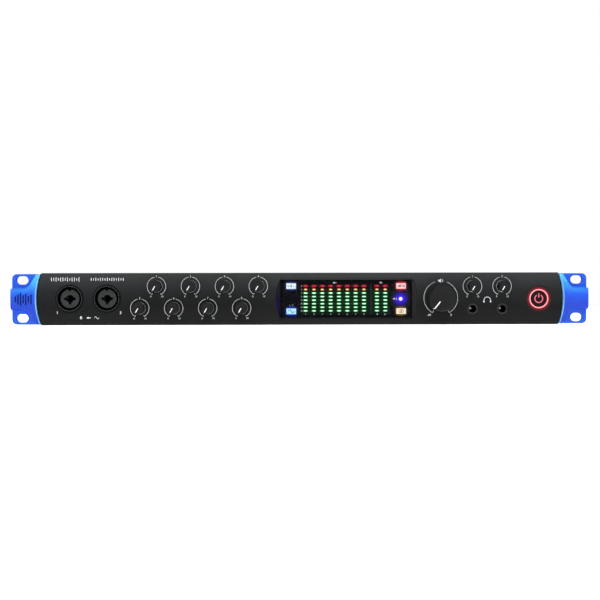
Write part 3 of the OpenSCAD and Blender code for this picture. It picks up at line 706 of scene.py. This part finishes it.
def ear_front(x, z, edge_distance):
    """Depth of the ear's front surface at a point."""
    flange_y = FACE_Y + EAR_WALL
    crown_y = FACE_Y - CROWN_OUT + CROWN_R - sqrt(CROWN_R ** 2 - z * z)
    rise = smooth_step(raised_distance(x, z) / 2.2 + 0.5)
    y = flange_y + (crown_y - flange_y) * rise
    y += fillet(edge_distance, 0.9) * (0.5 + 0.5 * rise)
    return y + fillet(slot_distance(x, z), 0.6)


def spread(count, power):
    """Fractions from 0 to 1, packed closer at both ends."""
    out = []
    for i in range(count + 1):
        t = 2 * i / count - 1
        out.append(0.5 + 0.5 * copysign(1 - (1 - abs(t)) ** power, t))
    return out


def make_ear(name, side, node):
    """The cast face of an ear: a flange with two slots under a crowned band that flares beside the panel."""
    columns, rows = spread(76, 1.5), spread(150, 1.35)
    back = FACE_Y + 2 * EAR_WALL
    half = FLANGE_HALF
    points = []
    for layer in ("front", "back"):
        for v in rows:
            z = -half + 2 * half * v
            x0, x1 = ear_inner(z), ear_outer(z)
            for u in columns:
                x = x0 + (x1 - x0) * u
                edge_distance = min(x - x0, x1 - x, half - abs(z))
                y = ear_front(x, z, edge_distance) if layer == "front" else back
                points.append((side * x, y, MID_Z + z))
    faces = grid_faces(len(columns), len(rows))
    ear = mesh_piece(name, points, faces, "crown")
    ear.data.materials.append(LOOKS["flange"])
    for sz in (-1, 1):
        outline = stadium_outline(side * SLOT_X, MID_Z + sz * SLOT_Z, SLOT_LEN, SLOT_H)
        cut(ear, outline, FACE_Y, back + 2)
    bars = motif_bars() if side < 0 else []
    crown_y = FACE_Y - CROWN_OUT
    for x, height in bars:
        lying = stadium_outline(0, 0, height, MOTIF_BAR_W, 6)
        outline = [(x + across, MID_Z + along) for along, across in lying]
        cut(ear, outline, crown_y - 1, crown_y + 0.55)
    ear.data.materials.append(LOOKS["ear_edge_highlight"])
    ear.data.materials.append(LOOKS["engraving"])
    for polygon in ear.data.polygons:
        x, y, z = (v / MM for v in polygon.center)
        height = z - MID_Z
        in_bar = any(abs(x - bar_x) < MOTIF_BAR_W / 2 + 0.02 and abs(height) < bar_h / 2 + 0.02
                     for bar_x, bar_h in bars)
        if raised_distance(abs(x), height) < -0.4 or y > FACE_Y + EAR_WALL + 0.8:
            polygon.material_index = 1
        elif in_bar and y > ear_front(abs(x), height, 5) + 0.02:
            polygon.material_index = 3
        # painted highlight: a thin pale blue strip along the inner edge, where the raised edge catches the
        # light
        elif abs(x) - ear_inner(height) < 0.55:
            polygon.material_index = 2
    sharpen(ear, 40)
    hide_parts(node)


def cut(obj, outline, y_front, y_back):
    """Takes the solid of an outline between two depths out of obj for good."""
    points, faces = [], []
    thin_solid(outline, y_front, y_back, points, faces)
    cutter = mesh_piece("cutter", points, faces, None)
    modifier = obj.modifiers.new("cut", "BOOLEAN")
    modifier.operation = "DIFFERENCE"
    modifier.solver = "EXACT"
    modifier.object = cutter
    bpy.context.view_layer.update()
    mesh = bpy.data.meshes.new_from_object(obj.evaluated_get(bpy.context.evaluated_depsgraph_get()))
    obj.modifiers.clear()
    old, obj.data = obj.data, mesh
    bpy.data.meshes.remove(old)
    bpy.data.objects.remove(cutter)


def make_ear_arm(name, side, node):
    """The ear's arm along the case, with rounded corners and screw holes, and the web behind the panel."""
    arm_x = box_mm("base_tray")[1][0] + 0.2
    arm_t, arm_half = 3.3, 17.8
    start, end = FACE_Y + 5.3, box_mm("right_ear")[1][1]
    head = 2.9
    screw_y = (start + 14, end - 10)
    screw_z = (MID_Z - 11, MID_Z + 11)
    r = 5
    outline = [(start, MID_Z - arm_half), (start, MID_Z + arm_half)]
    outline += arc_points(end - r, MID_Z + arm_half - r, r, 0, 90, 8)
    outline += arc_points(end - r, MID_Z - arm_half + r, r, 90, 180, 8)
    holes = [arc_points(y, z, head + 0.2, 0, 345, 23) for y in screw_y for z in screw_z]
    arm = plate(name, [outline] + holes, -arm_t / 2, arm_t / 2, "flange", 0.35)
    turn = Matrix.Rotation(radians(90), 4, "Z")
    shift = Matrix.Translation((side * (arm_x + arm_t / 2) * MM, 0, 0))
    arm.data.transform(shift @ turn)
    web, faces = [], []
    inner, outer = side * arm_x, side * (FLARE_X + 3.5)
    low, high = MID_Z - arm_half, MID_Z + arm_half
    outline = [(inner, low), (outer, low), (outer, high), (inner, high)]
    thin_solid(outline, start, FACE_Y + 2 * EAR_WALL, web, faces)
    back_web = mesh_piece(name + "_web", web, faces, "flange", False)
    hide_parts(node)
    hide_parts(node)


def motif_bars():
    """A plain level-bar motif for the left ear's band: (x, height) of each bar."""
    heights = (5.0, 8.4, 11.0, 7.0, 9.4, 5.6, 8.0)
    return [(-(EAR_OUTER - 4.4) + i * 2.15, h) for i, h in enumerate(heights)]


# ---- Knobs ----


def pointer_piece(name, at, path, width, body, angle=REST_ANGLE):
    """A white line over a knob's face and down its side: path is (distance from the axis, height)."""
    x0, y0, z0 = at
    a = radians(angle)
    ux, uz = sin(a), cos(a)
    points, faces = [], []
    n = len(path)
    for s in (-1, 1):
        for u, h in path:
            points.append((x0 + ux * u - uz * s * width / 2, y0 - h, z0 + uz * u + ux * s * width / 2))
    faces.append(tuple(range(n)))
    faces.append(tuple(range(2 * n - 1, n - 1, -1)))
    for i in range(n):
        j = (i + 1) % n
        faces.append((i, n + i, n + j, j))
    mesh_piece(name, points, faces, "pointer", False, body)


def paint_between(knob, low, high, look):
    """Gives the part of a knob between two heights out of the panel its own finish."""
    knob.data.materials.append(LOOKS[look])
    for polygon in knob.data.polygons:
        if low < FACE_Y - polygon.center.y / MM < high:
            polygon.material_index = len(knob.data.materials) - 1


def small_knob(node, shaft, body):
    x, z = centre_xz(shaft)
    low, high = box_mm(node)
    r = (high[0] - low[0]) / 2
    out = FACE_Y - low[1]
    bevel = (1.5, 1.9)
    profile = [(0, out - 2.4), (3.06, out - 2.4), (3.06, 0.6), (r - 0.3, 0.6), (r, 0.9), (r, bevel[0]),
               (r - 0.42, bevel[1]), (r - 0.42, 2.35), (r - 0.1, 2.6), (r - 0.1, 4), (r - 0.11, 8),
               (r - 0.12, out - 1.1)]
    round_r = 0.75
    for i in range(1, 7):
        a = radians(15 * i)
        profile.append((r - 0.12 - round_r * (1 - cos(a)), out - 1.1 + round_r * sin(a) * 1.35))
    profile += [(r - 1.2, out - 0.2), (r - 1.5, out - 0.24), (0, out - 0.28)]
    knob = lathe(node + "_body", (x, FACE_Y, z), profile, "knob", 96, body=body)
    # painted light: the face takes the lighter black, the sides keep the darker shaded black
    paint_between(knob, out - 0.4, out, "knob_cap")
    # painted highlight on the collar's bevel
    paint_between(knob, *bevel, "knob_bevel_highlight")
    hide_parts(node)
    top = out - 0.2
    path = [(0.1, top - 0.4), (0.1, top), (r - 1.2, top + 0.05), (r - 0.5, top - 0.12), (r - 0.1, out - 1.1),
            (r + 0.0, out - 2), (r + 0.0, 3.4), (r - 0.4, 3.4), (r - 0.5, out - 1.8), (r - 1.3, top - 0.4)]
    pointer_piece(node + "_pointer", (x, FACE_Y, z), path, 0.62, body)


def large_knob():
    x, z = centre_xz("main_shaft")
    low, high = box_mm("main_knob")
    r = (high[0] - low[0]) / 2
    out = FACE_Y - low[1]
    profile = [(0, out - 2.4), (3.06, out - 2.4), (3.06, 2.0), (r - 1.6, 2.0), (r - 1.6, 0.6), (r - 0.2, 0.6),
               (r, 0.85), (r, 2.2), (r - 0.3, 2.5), (r - 0.3, 2.9), (r - 0.05, 3.2), (r - 0.08, 4.5),
               (r - 0.12, 8), (r - 0.18, out - 1.9), (r - 0.35, out - 1.35), (r - 1.25, out - 0.32),
               (r - 1.5, out - 0.16), (r - 1.75, out - 0.12), (r - 2.0, out - 0.2), (0, out - 0.32)]
    knob = lathe("main_knob_body", (x, FACE_Y, z), profile, "knob", 144, body="main_dial")
    # painted shade: only a narrow ring at the base keeps the darker black
    paint_between(knob, 3.2, out, "knob_cap")
    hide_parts("main_knob")
    top = out - 0.2
    path = [(4.0, top - 0.5), (4.0, top - 0.02), (r - 1.75, top + 0.12), (r - 1.2, top - 0.05),
            (r - 0.3, out - 1.3), (r - 0.1, out - 2), (r - 0.02, 4.6), (r - 0.5, 4.6), (r - 0.7, out - 1.9),
            (r - 2.0, top - 0.5)]
    pointer_piece("main_knob_pointer", (x, FACE_Y, z), path, 0.75, "main_dial", MAIN_REST_ANGLE)


def make_knobs():
    for i in range(1, 9):
        small_knob(f"gain_knob_{i}", f"gain_shaft_{i}", f"gain_dial_{i}")
    for i in (1, 2):
        small_knob(f"phones_knob_{i}", f"phones_shaft_{i}", f"phones_dial_{i}")
    large_knob()


def scale_ring(at, r, top_gap, bottom_gap, tick):
    """Two arcs round a knob, open at the top for its number and at the bottom, each with a short end tick."""
    x, z = at
    lines = []
    for s in (-1, 1):
        lines.append(arc_points(x, z, r, s * top_gap, s * (180 - bottom_gap), 40))
        a = radians(s * (180 - bottom_gap))
        lines.append([(x + (r + 0.1) * sin(a), z + (r + 0.1) * cos(a)),
                      (x + (r - tick) * sin(a), z + (r - tick) * cos(a))])
    return lines


def make_scales():
    """Printed rings, their end figures and the numbers over the knobs."""
    lines, numbers, ends = [], [], []
    for i in range(1, 9):
        x, z = centre_xz(f"gain_shaft_{i}")
        lines += scale_ring((x, z), 7.75, 12, 29, 0.9)
        numbers.append((str(i), x, z + 8.25))
        ends += [("0", x - 4.7, z - 8.6), ("10", x + 4.7, z - 8.6)]
    for i in (1, 2):
        x, z = centre_xz(f"phones_shaft_{i}")
        lines += scale_ring((x, z), 7.85, 14, 29, 0.9)
        numbers.append((str(i), x, z + 8.3))
        ends += [("0", x - 4.6, z - 8.6), ("10", x + 4.6, z - 8.6)]
    strokes("gain_and_phones_rings", lines, 0.36, FACE_Y, "print")
    x, z = centre_xz("main_shaft")
    strokes("main_ring", scale_ring((x, z), 14.2, 20.5, 29.5, 1.9), 0.34, FACE_Y, "print")
    figures("knob_numbers", numbers, 2.5, FACE_Y, "print")
    figures("ring_end_figures", ends, 2.1, FACE_Y, "print")
    main_ends = [("-80", x - 9.9, z - 14.4), ("0", x + 8.7, z - 14.4)]
    figures("main_end_figures", main_ends, 2.5, FACE_Y, "print")


# ---- Pictograms, in place of words ----


def placed(cx, cz, size, outline):
    """An outline in units of a mark's size, brought to its place."""
    return [(cx + x * size, cz + z * size) for x, z in outline]


def speaker_mark(cx, cz, size):
    """Outlines of a small loudspeaker with one sound arc."""
    horn = [(-0.9, -0.3), (-0.45, -0.3), (0.1, -0.75), (0.1, 0.75), (-0.45, 0.3), (-0.9, 0.3)]
    wave = strip(arc_points(cx, cz, 0.7 * size, 50, 130, 8), 0.18 * size)
    return [placed(cx, cz, size, horn), wave]


def microphone_mark(cx, cz, size):
    head = rounded_rect(cx, cz + 0.3 * size, 0.6 * size, 1.1 * size, 0.29 * size)
    yoke = strip(arc_points(cx, cz + 0.1 * size, 0.55 * size, 90, 270, 10), 0.15 * size)
    stem = [(-0.08, -0.9), (0.08, -0.9), (0.08, -0.4), (-0.08, -0.4)]
    return [head, yoke, placed(cx, cz, size, stem)]


def plug_mark(cx, cz, size):
    body = rounded_rect(cx - 0.5 * size, cz, 0.9 * size, 0.8 * size, 0.15 * size, 3)
    tip = rounded_rect(cx + 0.45 * size, cz, 1.1 * size, 0.3 * size, 0.12 * size, 3)
    return [body, tip]


def arrow_mark(cx, cz, size):
    """A small triangle that points right, or left for a negative size."""
    return [(cx - size, cz - abs(size)), (cx + size, cz), (cx - size, cz + abs(size))]


def wave_mark(cx, cz, size):
    line = [(cx + size * (t / 12 - 1), cz + 0.5 * size * sin(pi * t / 12)) for t in range(25)]
    return [strip(line, 0.2 * size)]


def level_row(x, z, count, pitch, height):
    """A row of fine upright level bars whose heights rise and fall."""
    rows = []
    for i in range(count):
        half = height / 2 * (0.45 + 0.55 * abs(sin(1.9 * i + 0.8)))
        rows.append([(x + i * pitch, z - half), (x + i * pitch, z + half)])
    return rows


def bolt_mark(cx, cz, size):
    """A lightning bolt between two bars."""
    bolt = [(0.1, 0.8), (-0.42, -0.1), (-0.06, -0.1), (-0.16, -0.8), (0.42, 0.14), (0.06, 0.14)]
    bars = [rounded_rect(cx + side * size, cz, 0.5 * size, 0.24 * size, 0.08 * size, 3) for side in (-1, 1)]
    return [placed(cx, cz, size, bolt)] + bars


def cross_mark(cx, cz, size):
    return [strip([(cx - size, cz - s * size), (cx + size, cz + s * size)], 0.4) for s in (-1, 1)]


def ring_mark(cx, cz, radius):
    return [strip(arc_points(cx, cz, radius, start, start + 179.5, 14), 0.4) for start in (0, 180)]


def headphone_mark(cx, cz, size):
    band = strip(arc_points(cx, cz, size, -96, 96, 24), 0.17 * size)
    cups = [rounded_rect(cx + side * size, cz - 0.36 * size, 0.42 * size, 0.56 * size, 0.18 * size, 3)
            for side in (-1, 1)]
    return [band] + cups


def make_panel_marks():
    """Numbers and pictograms printed on the front panel."""
    labels = [("1", -202.7, 10.4), ("2", -150.2, 10.4)]
    figures("socket_numbers", labels, 3.2, FACE_Y, "print_white")
    middle = (labels[0][1] + labels[1][1]) / 2
    marks = (microphone_mark(middle - 6.6, 6.2, 1.7) + plug_mark(middle, 6.2, 1.6)
             + wave_mark(middle + 6.4, 6.2, 1.8))
    patches("socket_marks", marks, FACE_Y, "print_white")
    x, z = centre_xz("main_shaft")
    patches("main_mark", speaker_mark(x, z + 14.4, 2.4), FACE_Y, "print_white")
    phones_x = (centre_xz("phones_shaft_1")[0] + centre_xz("phones_shaft_2")[0]) / 2
    patches("phones_mark", headphone_mark(phones_x, 20.2, 2.8), FACE_Y, "print_white")
    plain_z = 38.3
    rows = [level_row(-207.5, plain_z, 13, 1.9, 3.6), level_row(-174.5, plain_z, 15, 1.9, 2.8)]
    strokes("plain_marks", sum(rows, []), 0.5, FACE_Y, "print_white")


def make_rear_marks():
    """Numbers beside the sockets on the rear panel."""
    labels = []
    for i in range(6):
        labels.append((str(3 + i), COMBO_X - COMBO_PITCH * i, MID_Z - 14.8))
    low, high = box_mm("jack_nuts")
    for i in range(5):
        x = high[0] - NUT_R - i * (high[0] - low[0] - 2 * NUT_R) / 4
        labels += [(str(2 * i + 1), x, high[2] + 2.0), (str(2 * i + 2), x, low[2] - 2.0)]
    figures("rear_numbers", labels, 2.4, REAR_Y, "print", side=1)


# ---- Meter ----

LENS_Y = WINDOW_LOW[1]
LENS_T = 1.1            # the window is a little thinner than its seat, which leaves air over the mask
MASK_Y = box_mm("meter_mask")[0][1]
COLUMN_PITCH = 7
BUTTONS = ("phantom_button", "line_button", "mute_button", "mono_button")
CAP_FINISHES = ("cap_white", "cap_cyan", "cap_pink", "cap_cream")


def light_places(node, width, height, rows):
    """Centres of a group of lights, from the group's box: eight inputs and a pair for the output."""
    low, high = box_mm(node)
    pitch = (high[2] - low[2] - height) / max(rows - 1, 1)
    xs = [low[0] + width / 2 + i * COLUMN_PITCH for i in range(8)]
    xs += [high[0] - width / 2 - COLUMN_PITCH, high[0] - width / 2]
    return [(x, low[2] + height / 2 + j * pitch) for x in xs for j in range(rows)]


def lens_bar(cx, cz, width, height, steps=7):
    """A lens-shaped light bar's outline."""
    points = []
    for i in range(4 * steps):
        a = 2 * pi * i / (4 * steps)
        c, s = cos(a), sin(a)
        points.append((cx + width / 2 * copysign(abs(c) ** 0.75, c),
                       cz + height / 2 * copysign(abs(s) ** 0.9, s)))
    return points


def light_group(node, size, edge, core, rows):
    """A group of lit bars: a saturated edge and a paler core on each."""
    width, height = size
    places = light_places(node, width, height, rows)
    patches(node + "_edges", [lens_bar(x, z, width + 0.7, height + 0.5) for x, z in places], MASK_Y,
            edge, 0.08)
    patches(node + "_cores", [lens_bar(x, z, width * 0.78, height * 0.62) for x, z in places], MASK_Y - 0.08,
            core, 0.06)
    return places


def make_window():
    """The window's smoked plate with its button openings."""
    middle = ((WINDOW_LOW[0] + WINDOW_HIGH[0]) / 2, (WINDOW_LOW[2] + WINDOW_HIGH[2]) / 2)
    size = (WINDOW_HIGH[0] - WINDOW_LOW[0], WINDOW_HIGH[2] - WINDOW_LOW[2])
    holes = [rounded_rect(*centre_xz(node), *BUTTON_HOLE, 0.8) for node in BUTTONS]
    window = plate("window_plate", [rounded_rect(*middle, *size, 1.0)] + holes, LENS_Y, LENS_Y + LENS_T,
                   "glass", 0.12)
    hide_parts("meter_window")


def make_lights():
    """The lit bars. Returns the columns' x and the rows' z; the last two rows are amber and red."""
    places = light_group("green_leds", (3.8, 1.4), "green", "green_core", 6)
    light_group("amber_leds", (2.8, 1.6), "amber", "amber_core", 1)
    light_group("red_leds", (4.0, 1.8), "red", "red_core", 1)
    rows = sorted({round(place[1], 3) for place in places})
    pitch = rows[1] - rows[0]
    return sorted({round(place[0], 3) for place in places}), rows + [rows[-1] + pitch, rows[-1] + 2 * pitch]


def make_meter_scale(columns, rows):
    """Dashes between neighbouring columns, and the figures at the left."""
    dashes = []
    for left, right in zip(columns, columns[1:]):
        if right - left < COLUMN_PITCH + 1:
            x = (left + right) / 2
            dashes += [[(x - 0.45, z), (x + 0.45, z)] for z in rows]
    strokes("meter_dashes", dashes, 0.35, MASK_Y, "dim_print")
    texts = ("0", "2", "4", "8", "12", "20", "30", "50")
    scale = [(text, columns[0] - 3.4, z) for text, z in zip(texts, reversed(rows))]
    figures("meter_scale", scale, 1.5, MASK_Y, "print")


def make_meter_marks(columns, rows):
    """Numbers and marks below and above the columns, and the line before the output's pair."""
    below, above = rows[0] - 2.9, rows[-1] + 2.7
    names = [(str(i + 1), x, below) for i, x in enumerate(columns[:8])]
    figures("meter_numbers", names, 1.9, MASK_Y, "print")
    arrows = [arrow_mark(columns[8], below, -0.75), arrow_mark(columns[9], below, 0.75)]
    patches("meter_sides", arrows, MASK_Y, "print")
    x = (columns[7] + columns[8]) / 2 + 0.5
    divider = [(x, rows[0] - 3), (x, rows[-1] + 1.6)]
    strokes("meter_divider", [divider], 0.25, MASK_Y, "dim_print")
    marks = (plug_mark((columns[3] + columns[4]) / 2, above, 1.5)
             + speaker_mark((columns[8] + columns[9]) / 2, above, 1.5))
    patches("meter_marks", marks, MASK_Y, "print_white")


def make_button_marks():
    """A link beside the lamp, and two numbers over the line button."""
    x, z = centre_xz("sync_led")
    link = [rounded_rect(x - 5.4, z, 1.8, 1.1, 0.3, 3), strip(arc_points(x - 4.6, z, 1.4, 40, 140, 8), 0.3)]
    patches("sync_mark", link, MASK_Y, "print_white")
    x, z = centre_xz("line_button")
    numbers = [("1", x - 1.2, z + 5.0), ("2", x + 1.2, z + 5.0)]
    figures("line_numbers", numbers, 1.9, MASK_Y, "print")


def make_wings():
    """Film over the sloping ends of the recess, which rise in a bow from the window to the panel's face."""
    half = (WINDOW_HIGH[2] - WINDOW_LOW[2]) / 2
    for name, side, edge_x, tip_x, radius in (("left", -1, WINDOW_LOW[0] - 0.1, -20.9, 38),
                                              ("right", 1, WINDOW_HIGH[0] + 0.1, 97.3, 73)):
        cx = tip_x - side * radius
        inner_r = radius - abs(tip_x - edge_x)
        across, up = 6, 36
        points = []
        for lift in (0.06, 0.02):
            for j in range(up + 1):
                dz = -half + 2 * half * j / up
                tip = cx + side * sqrt(radius ** 2 - dz * dz)
                for i in range(across + 1):
                    x = tip + (edge_x - tip) * i / across
                    away = hypot(x - cx, dz)
                    depth = min((radius - away) / (radius - inner_r), 1) * (LENS_Y - FACE_Y)
                    points.append((x, FACE_Y + depth - lift, MID_Z + dz))
        look = "wing" if side < 0 else "wing_plain"
        mesh_piece(f"{name}_wing_film", points, grid_faces(across + 1, up + 1), look)


def make_glows():
    """The sync lamp in its glow, which stops short of the caps above and below it."""
    x, z = centre_xz("sync_led")
    reach = 8.2
    halo("sync_glow", (0.05, 0.01, 1.0), (x, MASK_Y, z), reach, 2.2)
    half = min(box_mm("mute_button")[0][2] - z, z - box_mm("mono_button")[1][2]) - 0.5
    film = rounded_rect(x, z, 2 * reach, 2 * half, 3)
    patches("sync_halo", [film], MASK_Y, "sync_glow", 0.03)
    lamp, core = (arc_points(x, z, radius, 0, 345, 23) for radius in (1.75, 1.2))
    patches("sync_lamp", [lamp], MASK_Y - 0.03, "blue", 0.05)
    patches("sync_core", [core], MASK_Y - 0.08, "white_core", 0.05)


def make_button_glows():
    """Coloured light that the lit caps throw on the mask round them."""
    colours = ((0.01, 0.03, 0.25), (0.005, 0.03, 0.9), (0.6, 0.004, 0.02), (0.25, 0.12, 0.02))
    for node, colour, slot_name in zip(BUTTONS, colours, CAP_FINISHES):
        x, z = centre_xz(node)
        halo(node + "_glow", colour, (x, MASK_Y, z), 6.6, 1.0, 3.0)
        outlines = [rounded_rect(x, z, 12.4, 8.4, 2.5), rounded_rect(x, z, *BUTTON_HOLE, 0.6)]
        plate(node + "_glow_plate", outlines, MASK_Y - 0.04, MASK_Y, node + "_glow")


def make_buttons():
    """Lit caps with rounded rims, each with a dark legend on its face."""
    for node, finish in zip(BUTTONS, CAP_FINISHES):
        low, high = box_mm(node)
        x, z = centre_xz(node)
        width, height = high[0] - low[0], high[2] - low[2]
        body = node.replace("button", "cap")
        cap = plate(node + "_cap", [rounded_rect(x, z, width, height, 0.6)], low[1] + 0.1, low[1] + 2.8,
                    finish + "_rim", 0.3, body)
        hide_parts(node)
        patches(node + "_face", [rounded_rect(x, z, width - 0.5, height - 0.7, 0.4)], low[1] + 0.12,
                finish, 0.06, body)
        marks = {"phantom_button": bolt_mark(x, z, 2.3), "line_button": wave_mark(x, z, 2.4),
                 "mute_button": speaker_mark(x - 0.6, z, 1.8) + cross_mark(x + 2.3, z, 0.9),
                 "mono_button": ring_mark(x - 0.8, z, 1.2) + ring_mark(x + 0.8, z, 1.2)}[node]
        patches(node + "_legend", marks, low[1] + 0.06, "legend", body=body)


def make_power():
    """The lit ring, and the button's cap with its symbol."""
    x, z = centre_xz("power_ring")
    low, high = box_mm("power_ring")
    outer = (high[0] - low[0]) / 2
    inner = 7.0
    front = FACE_Y - low[1]
    profile = [(inner, -6), (inner, front - 0.25), (inner + 0.15, front - 0.05), (inner + 0.3, front),
               (outer - 0.5, front), (outer - 0.15, front - 0.3), (outer, front - 0.45), (outer, -6)]
    ring = lathe("power_ring_light", (x, FACE_Y, z), profile, "ring", 96)
    ring.data.materials.append(LOOKS["ring_side"])
    for polygon in ring.data.polygons:
        if abs(polygon.normal.y) < 0.8:
            polygon.material_index = 1
    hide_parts("power_ring")
    halo("power_glow", (0.55, 0.004, 0.02), (x, FACE_Y, z), 11.4, 0.5, 8.2)
    glow_profile = [(outer + 0.1, 0.0), (outer + 0.1, 0.03), (11.3, 0.03), (11.3, 0.0)]
    lathe("power_ring_glow", (x, FACE_Y, z), glow_profile, "power_glow", 96)
    r = 6.75
    cap_front = 0.2
    back = FACE_Y - box_mm("power_button")[1][1]
    profile = [(0, cap_front - 0.25), (r - 2.5, cap_front - 0.22), (r - 0.8, cap_front - 0.05),
               (r - 0.35, cap_front), (r, cap_front - 0.35), (r, -5), (2, -5), (2, back), (0, back)]
    cap = lathe("power_button_cap", (x, FACE_Y, z), profile, "power_cap", 96, body="power_cap")
    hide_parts("power_button")
    lines = [arc_points(x, z, 3.3, 32, 328, 36), [(x, z + 0.9), (x, z + 4.4)]]
    strokes("power_symbol", lines, 0.95, FACE_Y + 0.06, "symbol", 0.08, "power_cap")


# ---- Carried-over CAD nodes ----


def dress_nodes():
    finishes = {
        "case": ("base_tray", "side_walls", "top_cover", "rear_panel"),
        "panel": ("front_panel",),
        "black_screw": ("screws",),
        "mask": ("meter_mask",),
        "green": ("green_leds",),
        "amber": ("amber_leds",),
        "red": ("red_leds",),
        "blue": ("sync_led",),
        "board": ("control_boards", "main_board"),
        "board_tan": ("supply_board",),
        "socket": ("combo_housings", "jack_bodies", "midi_sockets", "optical_ports"),
        "insert": ("combo_inserts",),
        "nut": ("jack_nuts",),
        "chrome": ("bnc_sockets",),
        "gold": ("rca_sockets",),
        "steel": ("usb_port", "pot_bodies"),
        "inlet": ("power_inlet",),
        "switch": ("switch_bodies",),
        "coil": ("supply_parts",),
        "brass": ("standoffs",),
        "cable": ("ribbon_cables",),
    }
    for finish, nodes in finishes.items():
        for node in nodes:
            dress(node, finish)
    for node in NODES:
        if "_shaft" in node:
            dress(node, "shaft")
    widths = {
        0.25: ("base_tray", "side_walls", "top_cover", "jack_nuts", "power_inlet"),
        0.2: ("combo_inserts",),
        0.15: ("rear_panel", "bnc_sockets", "combo_housings", "jack_bodies"),
        0.12: ("front_panel", "rca_sockets"),
    }
    for width, nodes in widths.items():
        for node in nodes:
            round_edges(node, width)


def make_socket_trim():
    """A raised rim, its lighter grey a painted highlight, and a plain ring round each combined socket."""
    rows = [(x, z, FACE_Y, -1) for x, z in FRONT_SOCKETS]
    rows += [(COMBO_X - COMBO_PITCH * i, MID_Z, REAR_Y, 1) for i in range(6)]
    for i, (x, z, y, facing) in enumerate(rows, 1):
        profile = [(10.05, 0.2), (10.08, 0.62), (10.16, 0.74), (10.28, 0.74), (10.4, 0.62), (10.44, 0.2)]
        lathe(f"socket_rim_highlight_{i}", (x, y, z), profile, "socket_rim_highlight", 96, facing=facing)
        shroud = [(10.46, 0.3), (10.46, 0.64), (11.4, 0.64), (11.52, 0.5), (11.52, 0.3)]
        lathe(f"socket_shroud_{i}", (x, y, z), shroud, "socket", 96, facing=facing)


def make_jack_trim():
    """Bevelled mouths of the phones sockets, their lighter grey a painted highlight, and the contact spring
    inside each.
    """
    for i in (1, 2):
        x = centre_xz(f"phones_shaft_{i}")[0]
        z = 13.1
        profile = [(3.3, 0.05), (3.35, 0.28), (3.6, 0.4), (4.0, 0.42), (4.3, 0.34), (4.35, 0.05)]
        lathe(f"phones_mouth_{i}", (x, FACE_Y, z), profile, "mouth", 64)
        points, faces = [], []
        thin_solid(rounded_rect(x - 1.75, z + 0.5, 1.5, 1.7, 0.5, 4), FACE_Y + 1.2, FACE_Y + 6, points, faces)
        mesh_piece(f"phones_contact_{i}", points, faces, "contact", False)


add_camera()
add_studio()
make_looks()
dress_nodes()
for side, node in ((1, "right_ear"), (-1, "left_ear")):
    make_ear(node + "_face", side, node)
    make_ear_arm(node + "_arm", side, node)
make_knobs()
make_scales()
make_panel_marks()
make_rear_marks()
make_window()
meter_grid = make_lights()
make_meter_scale(*meter_grid)
make_meter_marks(*meter_grid)
make_button_marks()
make_wings()
make_glows()
make_button_glows()
make_buttons()
make_power()
make_socket_trim()
make_jack_trim()
